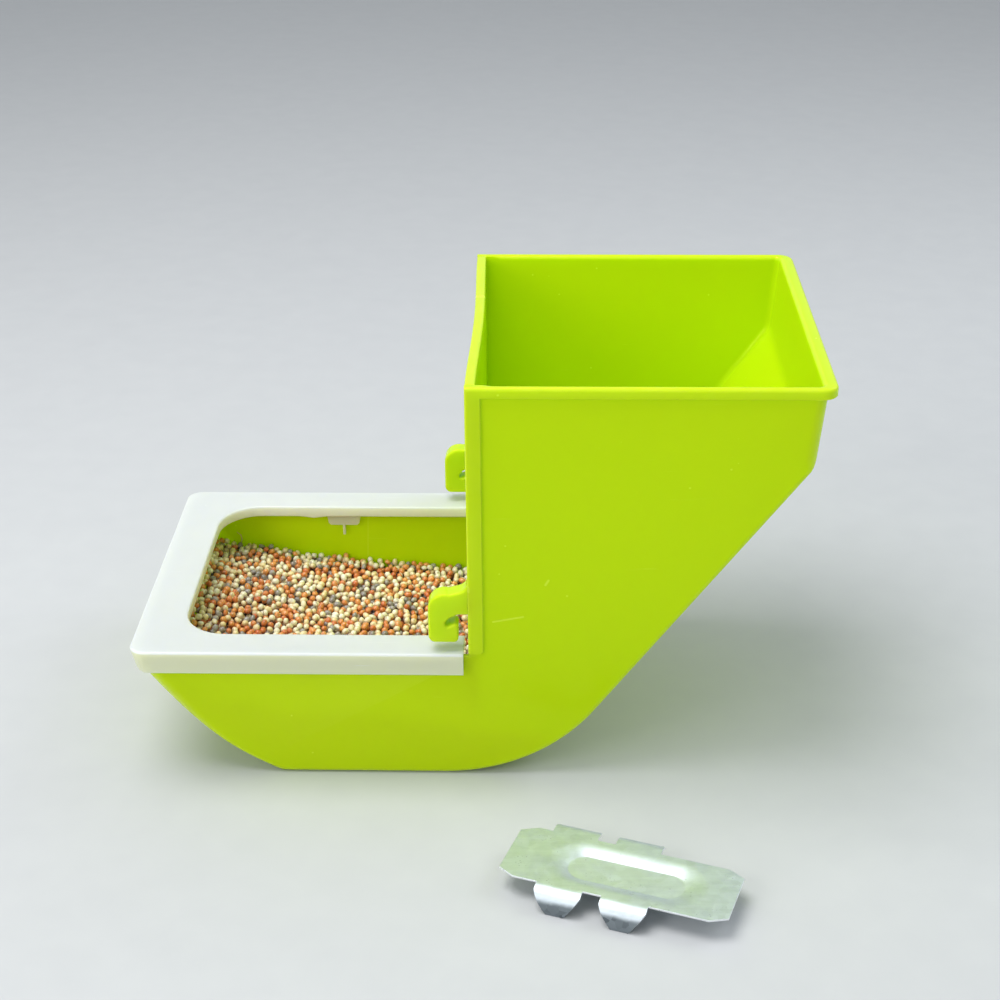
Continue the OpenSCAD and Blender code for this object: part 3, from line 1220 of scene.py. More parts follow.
    def anchor(self, point: EdgePoint, level: Level, depth: Flat) -> Vector:
        """Place on one level of the wall at a depth below the open edge.

        Args:
            point: Place on the open edge.
            level: Surface that is wanted.
            depth: How far inside the edge, along X and along Z.

        Returns:
            The place.
        """
        s = self.sizes
        inset = {Level.FACE: 0.0, Level.BAND: -s.proud, Level.INNER: s.wall}[level]
        top, rim = s.height - depth[1], s.tray_h - depth[1]
        if point.stretch is Side.BACK:
            x = s.rim_l if level is Level.BAND else s.back_x(top, inset)
            radius = {
                Level.FACE: self.back_fillet,
                Level.BAND: s.rim_corner,
                Level.INNER: self.back_fillet - s.wall,
            }[level]
            return Vector(self.cross(x, top, (-1.0, 0.0), radius, inset)[int(point.place)])
        if point.stretch is Side.FRONT:
            radius = s.front_corner - inset
            row = self.cross(s.front_x(rim, inset), rim, (1.0, 0.0), radius, inset)
            return Vector(row[int(point.place)])
        x, z = {
            Side.NOOK: (depth[0], rim),
            Side.CAGE: (depth[0], point.place),
            Side.CORNER: (depth[0], top),
            Side.TOP: (point.place, top),
            Side.TRAY: (point.place, rim),
        }[point.stretch]
        return Vector((x, point.hand * s.half(z, inset), z))

    def section(self, point: EdgePoint) -> tuple[list[Vector], list[float]]:
        """Points across the open edge, from the outer face over the top to the inner face.

        Args:
            point: Place on the open edge.

        Returns:
            The points and how much wear and painted highlight each one gets.
        """
        outer = Level.BAND if point.raised else Level.FACE
        band, over, low = point.band, point.round_over, point.low_round

        def moved(depth: Flat, shift: float, level: Level, towards: Level) -> Vector:
            """Place on one level, moved towards another."""
            start, end = self.anchor(point, level, depth), self.anchor(point, towards, depth)
            return start + (end - start).normalized() * shift

        size = over[0] if point.stretch is Side.CAGE else over[1]
        points = [self.anchor(point, Level.FACE, band)]
        points.append(moved(band, low, outer, Level.INNER))
        points.append(self.anchor(point, outer, (band[0] - low, band[1] - low)))
        # Wear and painted highlight peak on the rounded top of the edge.
        wear_and_highlight = [0.0, 0.2, 0.3]
        for t, down, along in quarter(4):
            depth = (over[0] * down, over[1] * down)
            points.append(moved(depth, size * along, outer, Level.INNER))
            wear_and_highlight.append(0.4 + 0.6 * math.sin(t * math.pi))
        for t, along, down in quarter(4):
            depth = (point.inner_round * down, point.inner_round * down)
            points.append(moved(depth, point.inner_round * along, Level.INNER, outer))
            wear_and_highlight.append(0.6 * math.sin(t * math.pi))
        return points, wear_and_highlight

    def build(self) -> bpy.types.Object:
        """Build and dress the hopper and tray.

        Returns:
            The finished piece.
        """
        s = self.sizes
        solid = Solid()
        path = self.edge_path()
        sections = [self.section(point) for point in path]
        rims = [solid.row([tuple(p) for p in points], wear_and_highlight) for points, wear_and_highlight in sections]
        solid.skin(rims + [rims[0]])
        outer = self.sheath(solid, 0.0, s.tray_h - self.tray_round, s.height - s.bead_h)
        low, high = s.tray_h - EdgePoint.inner_round, s.height - self.rim_inner_round
        inner = self.sheath(solid, s.wall, low, high)
        back = [i for i, p in enumerate(path) if p.stretch is Side.BACK]
        front = [i for i, p in enumerate(path) if p.stretch is Side.FRONT]
        near = list(range(front[-1] + 1, len(path))) + list(range(0, back[0]))
        far = list(range(back[-1] + 1, front[0]))
        for rows, level in ((outer, 0), (inner, -1)):
            edge = [rims[i][level] for i in near]
            solid.fill(edge + [row[0] for row in reversed(rows)])
            edge = [rims[i][level] for i in far]
            solid.fill(edge + [row[-1] for row in rows])
        piece = shade(solid.place("hopper_shell", s.seat_z), 34)
        piece.data.materials.append(self.finish.material())
        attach(piece, "feeder")
        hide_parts("hopper_body")
        return piece


# ---------------------------------------------------------------------------------------------
# Hook wall
# ---------------------------------------------------------------------------------------------


@dataclass
class HookPanel:
    """Wall on the cage side of the hopper, with its two hooks."""

    sizes: Sizes
    finish: Finish
    fit: float = 0.03
    bow: float = 1.2
    bow_reach: float = 70.0
    edge_round: float = 0.45
    top_round: float = 0.9
    hook_w: float = 7.7
    hook_inset: float = 0.5
    reach: float = 15.6
    rise: float = 9.2
    drop: float = 12.5
    slot_w: float = 3.8
    arm_w: float = 6.6
    blend: float = 5.0
    nose: float = 6.5
    heel: float = 2.8
    toe: float = 1.8
    lip: float = 1.3
    lip_z: float = 4.0
    curl: Sequence[Flat] = ((0.9, -1.4), (0.1, -0.8), (0.1, 0.3), (1.6, 2.3))
    crown: float = 2.2
    root: float = 2.0
    root_z: float = 0.6
    hook_round: float = 1.1

    def bowed(self, y: float, z: float) -> float:
        """How far the wall bows into the hopper.

        Args:
            y: Place across the wall.
            z: Height.

        Returns:
            The distance along X.
        """
        s = self.sizes
        across = math.cos(math.pi * y / s.rim_w) ** 2
        return self.bow * across * smooth(z, s.height - self.bow_reach, s.height)

    def loop(self, z: float, shrink: float, columns: int = 26) -> list[Point]:
        """Outline of the wall at one height.

        Args:
            z: Height.
            shrink: How far the outline is drawn in.
            columns: Steps across the wall.

        Returns:
            The loop of points.
        """
        s = self.sizes
        half = s.half(z, s.wall) - self.fit - shrink
        low, high = shrink, s.panel_t - shrink
        r = max(self.edge_round - shrink, 0.02)
        corner = [(0.0, r), (r * 0.29, r * 0.29), (r, 0.0)]
        edge = [(-half + a, low + b) for a, b in corner]
        middle = [((-half + r) * (1 - 2 * t), low) for t in steps(columns)[1:-1]]
        cage = edge + middle + [(-y, x) for y, x in reversed(edge)]
        flat = cage + [(y, low + high - x) for y, x in reversed(cage)]
        return [(x + self.bowed(y, z), y, z) for y, x in flat]

    def wall(self) -> bpy.types.Object:
        """Draw the wall with rounded top and bottom edges.

        Returns:
            The wall as a closed mesh.
        """
        s = self.sizes
        foot, top = s.wall + s.throat, s.height
        solid = Solid()
        rows = []
        # The rounded bottom and top edges get wear and painted highlight.
        for _, up, shrink in quarter(3):
            loop = self.loop(foot + self.top_round * up, self.top_round * shrink)
            rows.append(solid.row(loop, 0.5))
        rows.reverse()
        rows.extend(solid.row(self.loop(foot + (top - foot) * t, 0.0)) for t in steps(16)[1:-1])
        for _, down, shrink in quarter(3):
            loop = self.loop(top - self.top_round * down, self.top_round * shrink)
            rows.append(solid.row(loop, 0.8))
        solid.tube(rows)
        return solid.place("hook_panel", s.seat_z)

    def outline(self) -> list[Flat]:
        """Outline of one hook from the side, up the arm, round the nose and into the slot.

        Returns:
            Its points, along X and Z, from the height of the wire's seat.
        """
        arm = -self.reach + self.arm_w
        top = self.rise + self.blend + self.root_z
        path = [(self.root, self.root_z), (self.root, top)]
        path += arc((-self.blend, top), self.blend, 0, -75, 10)
        path += arc((-self.reach + self.nose, self.rise - self.nose), self.nose, 75, 180, 14)
        path += arc((-self.reach + self.heel, -self.drop + self.heel), self.heel, 180, 270, 8)
        path += arc((-self.slot_w - self.toe, -self.drop + self.toe), self.toe, 270, 360, 8)
        path += arc((-self.slot_w - self.lip, -self.lip_z - self.lip), self.lip, 0, 130, 7)
        path += [(arm + x, -self.lip_z + z) for x, z in self.curl]
        path += arc((-self.slot_w + 0.2, -self.crown), self.crown, 140, 85, 5)
        return path + [(self.root, 0.0)]

    def hook(self, hand: int) -> bpy.types.Object:
        """Draw one hook with rounded edges.

        Args:
            hand: -1 for the near hook, 1 for the far one.

        Returns:
            The hook as a closed mesh.
        """
        s = self.sizes
        middle = s.half(s.seat_z) + s.proud - self.hook_inset - self.hook_w / 2
        solid = Solid()
        caps = []
        for side in (-1, 1):
            y = hand * middle + side * self.hook_w / 2
            # The whole hook gets some wear and painted highlight.
            caps.append(solid.row([(x, y, z + s.seat_z) for x, z in self.outline()], 0.4))
        solid.tube(caps)
        made = solid.place("hook", s.seat_z)
        return settle(round_edges(made, self.hook_round, segments=3, angle=60))

    def build(self) -> bpy.types.Object:
        """Build and dress the wall and its hooks.

        Returns:
            The finished piece.
        """
        piece = unite(self.wall(), [self.hook(-1), self.hook(1)])
        shade(piece, 40)
        piece.data.materials.clear()
        piece.data.materials.append(self.finish.material())
        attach(piece, "feeder")
        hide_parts("hook_wall")
        return piece


# ---------------------------------------------------------------------------------------------
# Guard ring
# ---------------------------------------------------------------------------------------------


@dataclass
class TrayGuard:
    """Channel that caps the tray's rim on three sides, with a lip round its opening."""

    sizes: Sizes
    finish: Finish
    gap: float = 0.45
    rim_gap: float = 0.3
    skirt_t: float = 2.6
    top_t: float = 2.2
    skirt_h: float = 9.6
    side_bar: float = 15.6
    front_bar: float = 19.0
    nose: float = 4.5
    nose_gap: float = 0.6
    end_gap: float = 2.0
    corner: float = 6.5
    inner_corner: float = 5.5
    opening: float = 18.0
    lip_t: float = 2.0
    lip_h: float = 5.0
    lean: float = 2.6
    edge_round: float = 1.1
    foot_round: float = 1.0
    front_foot: float = 3.0
    lip_round: float = 0.6
    drip_x: float = -75.8
    drip_half: float = 4.2
    drip_h: float = 0.9
    tongue_x: float = 63.0
    tongue_w: float = 16.0
    tongue_drop: float = 13.0
    tongue_t: float = 1.6
    tongue_gap: float = 0.9
    tongue_cut: Flat = (0.9, 1.0)
    stem_w: float = 1.2
    stem_l: float = 5.0
    side_steps: int = 30
    corner_steps: int = 9
    front_steps: int = 8

    @property
    def top(self) -> float:
        """Height of the top face."""
        return self.sizes.tray_h + self.rim_gap + self.top_t

    @property
    def half(self) -> float:
        """Half width over the skirts."""
        return self.sizes.half(self.sizes.tray_h) + self.gap + self.skirt_t

    def path(self, half: float, reach: float, radius: float) -> list[tuple[Flat, Flat]]:
        """Outline from the near end, round the front, to the far end.

        Args:
            half: Half width of the outline.
            reach: How far it reaches from the cage side.
            radius: Radius of its corners.

        Returns:
            Each point with its outward direction.
        """
        start = -self.end_gap
        turn = -reach + radius
        near: list[tuple[Flat, Flat]] = [
            ((start + (turn - start) * t, -half), (0.0, -1.0)) for t in steps(self.side_steps)[:-1]
        ]
        for t in steps(self.corner_steps):
            angle = math.radians(-90 - 90 * t)
            out = (math.cos(angle), math.sin(angle))
            near.append(((turn + radius * out[0], -half + radius + radius * out[1]), out))
        span = 2 * (half - radius)
        front = [
            ((-reach, -half + radius + span * t), (-1.0, 0.0)) for t in steps(self.front_steps)[1:-1]
        ]
        far = [((x, -y), (nx, -ny)) for (x, y), (nx, ny) in reversed(near)]
        return near + front + far

    def section(self, i: int, paths: Sequence[Sequence[tuple[Flat, Flat]]]) -> list[tuple[Point, float]]:
        """Closed section of the channel at one station.

        Args:
            i: Number of the station.
            paths: Outline of the skirt outside, of the skirt inside, and of the opening.

        Returns:
            The section's points with their wear and painted highlight.
        """
        (ox, oy), (nx, ny) = paths[0][i]
        (sx, sy), _ = paths[1][i]
        (ix, iy), (mx, my) = paths[2][i]
        front = max(0.0, -nx)
        foot_r = self.foot_round + (self.front_foot - self.foot_round) * front
        drip = self.drip_h * max(0.0, 1 - ((ix - self.drip_x) / self.drip_half) ** 2) if iy > 0 else 0.0
        under, foot = self.top - self.top_t, self.top - self.skirt_h
        lip_foot = self.top - self.lip_h - drip
        made: list[tuple[Point, float]] = []

        def outside(shift: float, z: float, wear_and_highlight: float) -> None:
            """Add a point of the outer face, moved in by shift and by the front's lean."""
            lean = self.lean * front * (self.top - z) / self.skirt_h
            made.append(((ox - nx * (shift + lean), oy - ny * (shift + lean), z), wear_and_highlight))

        def opening(shift: float, z: float, wear_and_highlight: float) -> None:
            """Add a point beside the opening, moved out by shift."""
            made.append(((ix + mx * shift, iy + my * shift, z), wear_and_highlight))

        # Rounded edges get wear and painted highlight, strongest midway round each.
        r = self.edge_round
        for t, away, down in quarter(4):
            outside(r * away, self.top - r * down, math.sin(t * math.pi))
        for t in (0.3, 0.6):
            z = self.top - self.edge_round
            outside(0.0, z + (foot + foot_r - z) * t, 0.0)
        for t, up, away in quarter(4):
            outside(foot_r * 0.5 * away, foot + foot_r * up, 0.4 * math.sin(t * math.pi))
        made.append(((sx + nx * 0.3, sy + ny * 0.3, foot), 0.0))
        made.append(((sx, sy, foot + 0.3), 0.0))
        made.append(((sx, sy, under - 0.5), 0.0))
        made.append(((sx - nx * 0.5, sy - ny * 0.5, under), 0.0))
        opening(self.lip_t + 0.4, under, 0.0)
        opening(self.lip_t, under - 0.4, 0.0)
        r = self.lip_round
        for _, up, away in quarter(3):
            opening(self.lip_t - r * away, lip_foot + r * up, 0.2)
        for _, away, up in quarter(3):
            opening(r * away, lip_foot + r * up, 0.3)
        r = self.edge_round * 0.8
        for t, down, away in quarter(4):
            opening(r * away, self.top - r * down, math.sin(t * math.pi))
        return made

    def tongue(self, hand: int) -> bpy.types.Object:
        """Draw one tongue that reaches down inside the tray, with its stem.

        Args:
            hand: -1 for the near side, 1 for the far side.

        Returns:
            The tongue as a closed mesh.
        """
        s = self.sizes
        foot = self.top - self.tongue_drop
        face = s.half(foot) - s.wall - self.tongue_gap
        half = self.tongue_w / 2
        cut_x, cut_z = self.tongue_cut
        outline = [(-half, self.top - self.top_t / 2), (-half, foot + self.tongue_drop / 2)]
        outline += [(-half + cut_x, foot + cut_z), (-half + cut_x + cut_z, foot)]
        outline += [(-self.stem_w / 2, foot)]
        outline += [(-self.stem_w / 2, foot - self.stem_l), (self.stem_w / 2, foot - self.stem_l)]
        outline += [(-x, z) for x, z in reversed(outline[:5])]
        solid = Solid()
        caps = [
            solid.row([(x - self.tongue_x, hand * (face - depth), z) for x, z in outline], 0.2)
            for depth in (0.0, self.tongue_t)
        ]
        solid.tube(caps)
        made = solid.place("tongue", s.seat_z)
        return settle(round_edges(made, 0.25, segments=2, angle=40))

    def build(self) -> bpy.types.Object:
        """Build and dress the guard.

        Returns:
            The finished piece.
        """
        s = self.sizes
        reach = s.tray_l + self.nose
        paths = [
            self.path(self.half, reach, self.corner),
            self.path(self.half - self.skirt_t, s.tray_l + self.nose_gap, self.inner_corner),
            self.path(self.half - self.side_bar, reach - self.front_bar, self.opening),
        ]
        solid = Solid()
        rows = []
        for i in range(len(paths[0])):
            made = self.section(i, paths)
            rows.append(solid.row([p for p, _ in made], [w for _, w in made]))
        solid.tube(rows)
        piece = solid.place("tray_guard", s.seat_z)
        settle(round_edges(piece, 0.5, segments=2, angle=65, clamp=True))
        unite(piece, [self.tongue(-1), self.tongue(1)])
        shade(piece, 40)
        piece.data.materials.clear()
        piece.data.materials.append(self.finish.material())
        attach(piece, "guard")
        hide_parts("guard_ring")
        return piece


# ---------------------------------------------------------------------------------------------
# Clip
# ---------------------------------------------------------------------------------------------


@dataclass
class SheetClip:
    """Pressed sheet clip with a sunk recess and four bent legs."""

    sizes: Sizes
    finish: Finish
    # Near-white finish of the cut edges: bare metal with a painted glint.
    glint_edge_finish: Finish
    length: float = 88.0
    width: float = 31.0
    sheet: float = 0.8
    height: float = 9.0
    pitch: float = 25.0
    leg_root: float = 18.0
    leg_tip: float = 7.0
    splay: float = 6.5
    far_back: float = 4.0
    far_root: float = 2.5
    recess_l: float = 60.0
    recess_w: float = 23.0
    recess_side: float = 5.0
    recess_d: float = 2.0
    recess_ease: float = 1.7
    recess_shift: float = 2.0
    end_pull: float = 3.0
    soft: float = 1.6
    cut: Flat = (6.5, 3.5)
    at: Flat = (59.0, -141.0)
    turn: float = -19.0
    round_steps: int = 18

    def stadium(self, radius: float, z: float, pull: float = 0.0) -> list[Point]:
        """Loop with two round ends, about the recess's centre line.

        Args:
            radius: Distance from the centre line.
            z: Height.
            pull: How far both ends are drawn in.

        Returns:
            The loop of points.
        """
        straight = (self.recess_l - self.recess_w) / 2 - pull
        right = arc((self.recess_shift + straight, 0), radius, -90, 90, self.round_steps)
        left = arc((self.recess_shift - straight, 0), radius, 90, 270, self.round_steps)
        run = steps(6)[1:-1]
        top = [(right[-1][0] + (left[0][0] - right[-1][0]) * t, radius) for t in run]
        low = [(left[-1][0] + (right[0][0] - left[-1][0]) * t, -radius) for t in run]
        return [(x, y, z) for x, y in right + top + left + low]

    def outline(self) -> list[Flat]:
        """Outline of the plate with cut corners and the points of each leg's root.

        Returns:
            Its points, along X and Y.
        """
        end, side = self.length / 2, self.width / 2
        cx, cy = self.cut
        half = self.leg_root / 2
        starts = [self.pitch - end + leg * self.pitch - half for leg in (0, 1)]
        roots = [start + self.leg_root * t for start in starts for t in steps(6)]
        near = [(-end + cx, -side)] + [(x, -side) for x in roots] + [(end - cx, -side)]
        far = [(end - cx, side)] + [(x - self.far_back, side) for x in reversed(roots)]
        far += [(-end + cx, side)]
        right = [(end, -side + cy), (end, side - cy)]
        return near + right + far + [(-end, side - cy), (-end, -side + cy)]

    def draw(self) -> Solid:
        """Draw the sheet's top face as one surface.

        Returns:
            The drawing.
        """
        solid = Solid()
        rim = self.recess_w / 2 + self.soft
        floor = self.recess_w / 2 - self.recess_side
        rings = []
        for t in steps(10):
            z = self.height - self.recess_d * t**self.recess_ease
            ring = self.stadium(rim + (floor - rim) * t, z, self.end_pull * t)
            rings.append(solid.row(ring, 0.1 * t**4))
        solid.skin(rings, closed=True)
        solid.fill(rings[-1])
        outer = self.outline()
        hole = [(x, y) for x, y, _ in self.stadium(rim, 0.0)]
        edges = [(i, (i + 1) % len(outer)) for i in range(len(outer))]
        shift = len(outer)
        edges += [(shift + i, shift + (i + 1) % len(hole)) for i in range(len(hole))]
        flat, _, faces, _, _, _ = delaunay_2d_cdt(
            [Vector(p) for p in outer + hole], edges, [], 1, 1e-5
        )
        base = solid.row([(p.x, p.y, self.height) for p in flat])
        straight = (self.recess_l - self.recess_w) / 2
        for face in faces:
            x = sum(flat[i].x for i in face) / len(face) - self.recess_shift
            y = sum(flat[i].y for i in face) / len(face)
            if math.hypot(max(abs(x) - straight, 0.0), y) > rim - 0.01 and self.inside(face, flat):
                solid.fill([base[i] for i in face])
        for leg in (0, 1):
            for hand in (-1, 1):
                self.leg(solid, leg, hand)
        return solid

    def inside(self, face: Sequence[int], flat: Sequence[Vector]) -> bool:
        """Whether a face lies within the plate's cut corners.

        Args:
            face: The face's vertex numbers.
            flat: Places of all the vertices.

        Returns:
            True where it does.
        """
        x = abs(sum(flat[i].x for i in face) / len(face))
        y = abs(sum(flat[i].y for i in face) / len(face))
        cx, cy = self.cut
        over = x - (self.length / 2 - cx)
        return over <= 0 or y < self.width / 2 - cy * over / cx

    def leg(self, solid: Solid, number: int, hand: int) -> None:
        """Draw one leg's top face, from its root over the bend to its tip.

        Args:
            solid: The drawing.
            number: 0 for the leg at the left, 1 for the next.
            hand: -1 for the near edge, 1 for the far one.
        """
        middle = self.pitch - self.length / 2 + number * self.pitch
        edge = self.width / 2
        line = []
        if hand > 0:
            middle -= self.far_back
            line.append((edge, self.height))
            edge += self.far_root
        drop = self.height - self.splay
        line += [(edge + y, drop + z) for y, z in arc((0, 0), self.splay, 90, 0, 12)]
        line += [(edge + self.splay, drop * (1 - t)) for t in steps(3)[1:]]
        rows = []
        for y, z in line:
            share = min(1.0, z / (self.height - 1.0))
            wide = self.leg_tip + (self.leg_root - self.leg_tip) * share
            rows.append(solid.row([(middle + wide * (t - 0.5), hand * y, z) for t in steps(6)]))
        solid.skin(rows)

    def build(self) -> bpy.types.Object:
        """Build and dress the clip.

        Returns:
            The finished piece.
        """
        piece = self.draw().place("sheet_clip", self.sizes.seat_z, self.turn, (*self.at, 0.0))
        bm = bmesh.new()
        bm.from_mesh(piece.data)
        top = max(bm.faces, key=lambda f: f.calc_area())
        if top.normal.z < 0:
            bmesh.ops.reverse_faces(bm, faces=bm.faces)
        bm.to_mesh(piece.data)
        bm.free()
        piece.data.materials.append(self.finish.material())
        # The cut edges get the near-white painted glint finish.
        piece.data.materials.append(self.glint_edge_finish.material())
        sheet = {"thickness": self.sheet * MM, "offset": -1, "use_even_offset": True}
        add_modifier(piece, "SOLIDIFY", material_offset_rim=1, **sheet)
        settle(round_edges(piece, 0.14, segments=2, angle=60))
        shade(piece, 50)
        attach(piece, "clip")
        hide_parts("cage_clip")
        return piece


# ---------------------------------------------------------------------------------------------
# Feed
# ---------------------------------------------------------------------------------------------


@dataclass
class FeedHeap:
    """Mixed seed that fills the tray and the foot of the hopper."""

    sizes: Sizes
    seed_finish: Finish
    bed_finish: Finish
    straw_finish: Finish
    knots: Sequence[Flat] = (
        (-128.0, 37.0),
        (-96.0, 36.5),
        (-74.0, 32.5),
        (-50.0, 30.0),
        (-25.0, 27.5),
        (-7.0, 24.8),
        (10.0, 22.5),
        (60.0, 16.0),
    )
    seed_size: float = 3.15
    seed_spread: Sequence[Flat] = ((0.9, 1.3), (0.8, 1.04), (0.68, 0.92))
    spacing: float = 2.72
    layer: float = 2.1
    lift: Flat = (-0.35, 0.25)
    density: float = 900000.0
    pick: int = 11
    gap: float = 0.35
    rise: float = 8.0
    straw_r: float = 0.32
    straw_bends: Sequence[float] = (0.0, 0.2, 0.4, 0.7, 1.0)
    straw_line: Sequence[Sequence[float]] = (
        (-113.6, -111.8, -111.4, -112.2, -112.6),
        (65.2, 65.0, 64.7, 64.3, 63.6),
        (42.6, 41.2, 39.2, 36.0, 32.5),
    )

    def top(self, x: float, y: float) -> float:
        """Height of the heap's surface.

        Args:
            x: Place along the tray.
            y: Place across it.

        Returns:
            The height.
        """
        waves = 0.7 * math.sin(x / 17.0 + y / 23.0) + 0.5 * math.sin(x / 9.0 - y / 13.0 + 1.0)
        pile = self.rise * smooth(-x, 98.0, 124.0) * smooth(-y, -66.0, -12.0)
        return curve_at(self.knots, x) + waves + pile - 0.8 * math.cos(y / 34.0)

    def rows(self, margin: float, sink: float, count: int = 54, across: int = 36) -> list[list[Point]]:
        """Grid of places on the surface, inside the walls.

        Args:
            margin: Distance kept from the walls.
            sink: How far the grid lies below the surface.
            count: Steps along the tray.
            across: Steps across it.

        Returns:
            The rows, front to back.
        """
        s = self.sizes
        inset = s.wall + margin

        def clear(x: float) -> float:
            """Depth of feed over the body's floor."""
            return self.top(x, 0.0) - sink - s.floor_z(x, inset)

        start = bisect(clear, -125.0, -90.0)
        end = bisect(clear, 10.0, 60.0)
        made = []
        corner = s.front_corner - s.wall
        for t in steps(count):
            x = start + (end - start) * t
            near = max(corner - (x - start), 0.0)
            trim = corner - math.sqrt(max(corner**2 - near**2, 0.0))
            row = []
            for v in steps(across):
                z = self.top(x, 0.0) - sink
                half = s.half(z, inset) - trim
                y = half * (2 * v - 1)
                height = max(self.top(x, y) - sink, s.floor_z(x, inset))
                row.append((x, y, height))
            made.append(row)
        return made

    def bed(self) -> bpy.types.Object:
        """Draw the solid heap under the top seeds.

        Returns:
            The finished piece.
        """
        s = self.sizes
        solid = Solid()
        upper, lower = [], []
        for row in self.rows(self.gap, self.layer * 2.2):
            upper.append(solid.row(row))
            foot = s.floor_z(row[0][0], s.wall + self.gap * 0.5)
            shrink = s.half(foot, s.wall + self.gap) / s.half(row[0][2], s.wall + self.gap)
            lower.append(solid.row([(x, y * shrink, min(foot, z - 0.02)) for x, y, z in row]))
        solid.skin(upper)
        solid.skin(lower)
        for side in (0, -1):
            solid.bridge([row[side] for row in upper], [row[side] for row in lower])
        solid.bridge(upper[0], lower[0])
        solid.bridge(upper[-1], lower[-1])
        piece = shade(solid.place("feed_bed", s.seat_z), 60)
        piece.data.materials.append(self.bed_finish.material())
        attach(piece, "feeder")
        return piece

    def tree(self) -> bpy.types.NodeTree:
        """Build the node tree that strews seeds over a surface.

        Returns:
            The tree, with named inputs for its sizes.
        """
        tree = bpy.data.node_groups.new("strewn_seed", "GeometryNodeTree")
        face = tree.interface
        face.new_socket("Surface", in_out="INPUT", socket_type="NodeSocketGeometry")
        lengths = {"Seed Size": self.seed_size, "Spacing": self.spacing, "Layer": self.layer}
        for name, value in lengths.items():
            socket = face.new_socket(name, in_out="INPUT", socket_type="NodeSocketFloat")
            socket.default_value = value * MM
        face.new_socket("Pick", in_out="INPUT", socket_type="NodeSocketInt").default_value = self.pick
        face.new_socket("Coat", in_out="INPUT", socket_type="NodeSocketMaterial")
        face.new_socket("Seeds", in_out="OUTPUT", socket_type="NodeSocketGeometry")
        graph = Graph(tree)
        source = tree.nodes.new("NodeGroupInput")
        wires = {s.name: Wire(graph, s) for s in source.outputs if s.name}
        ball = graph.node("GeometryNodeMeshUVSphere", inputs={"Segments": 7, "Rings": 5, "Radius": 1.0})
        here = graph.node("GeometryNodeInputPosition")
        keep = {"data_type": "FLOAT_VECTOR", "domain": "POINT"}
        ball = graph.node(
            "GeometryNodeStoreNamedAttribute", keep, {"Geometry": ball, "Name": "local", "Value": here}
        )
        layers = []
        for number, sink in ((0, 0.0), (1, 1.0)):
            pick = wires["Pick"] + number * 31
            spread = {
                "Mesh": wires["Surface"],
                "Distance Min": wires["Spacing"],
                "Density Max": self.density,
                "Seed": pick,
            }
            how = {"distribute_method": "POISSON"}
            spots = graph.node("GeometryNodeDistributePointsOnFaces", how, spread)
            lift = self.random(graph, *self.lift, pick, 1) - sink
            lift = graph.node("ShaderNodeCombineXYZ", inputs={"Z": lift * wires["Layer"]})
            spots = graph.node("GeometryNodeSetPosition", inputs={"Geometry": spots, "Offset": lift})
            layers.append(spots)
        join = tree.nodes.new("GeometryNodeJoinGeometry")
        for spots in layers:
            tree.links.new(spots.socket, join.inputs[0])
        spots = Wire(graph, join.outputs[0])
        pick = wires["Pick"]
        size = wires["Seed Size"] * 0.5
        long, wide, deep = (
            self.random(graph, low, high, pick, extra) * size
            for extra, (low, high) in enumerate(self.seed_spread, start=2)
        )
        scale = graph.node("ShaderNodeCombineXYZ", inputs={"X": long, "Y": wide, "Z": deep})
        turn = graph.node(
            "FunctionNodeRandomValue",
            {"data_type": "FLOAT_VECTOR"},
            {0: (0.0, 0.0, 0.0), 1: (math.tau,) * 3, "Seed": pick + 5},
        )
        seeds = graph.node(
            "GeometryNodeInstanceOnPoints",
            inputs={"Points": spots, "Instance": ball, "Rotation": turn, "Scale": scale},
        )
        for name, extra in (("tone", 6), ("shade", 7)):
            settings = {"data_type": "FLOAT", "domain": "INSTANCE"}
            value = self.random(graph, 0.0, 1.0, pick, extra)
            inputs = {"Geometry": seeds, "Name": name, "Value": value}
            seeds = graph.node("GeometryNodeStoreNamedAttribute", settings, inputs)
        seeds = graph.node("GeometryNodeRealizeInstances", inputs={"Geometry": seeds})
        seeds = graph.node("GeometryNodeSetShadeSmooth", inputs={"Geometry": seeds})
        seeds = graph.node("GeometryNodeSetMaterial", inputs={"Geometry": seeds, "Material": wires["Coat"]})
        out = tree.nodes.new("NodeGroupOutput")
        tree.links.new(seeds.socket, out.inputs["Seeds"])
        return tree

    @staticmethod
    def random(graph: Graph, low: float, high: float, pick: Wire, extra: int) -> Wire:
        """Random number for each element.

        Args:
            graph: The node tree.
            low: Least value.
            high: Greatest value.
            pick: The tree's seed.
            extra: Number added to it.

        Returns:
            The random number.
        """
        made = graph.tree.nodes.new("FunctionNodeRandomValue")
        made.data_type = "FLOAT"
        sockets = {s.identifier: s for s in made.inputs}
        sockets["Min_001"].default_value = low
        sockets["Max_001"].default_value = high
        graph.feed(sockets["Seed"], pick + extra)
        return Wire(graph, next(s for s in made.outputs if s.identifier == "Value_001"))

    def seeds(self) -> bpy.types.Object:
        """Strew the top seeds over the heap.

        Returns:
            The finished piece.
        """
        s = self.sizes
        solid = Solid()
        rows = [solid.row(row) for row in self.rows(self.gap + self.seed_size * 0.2, self.seed_size * 0.4)]
        solid.skin(rows)
        piece = solid.place("feed_seed", s.seat_z)
        modifier = piece.modifiers.new("Strew", "NODES")
        modifier.node_group = self.tree()
        names = {item.name: item.identifier for item in modifier.node_group.interface.items_tree}
        modifier[names["Coat"]] = self.seed_finish.material()
        modifier[names["Pick"]] = self.pick
        settle(piece)
        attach(piece, "feeder")
        return piece

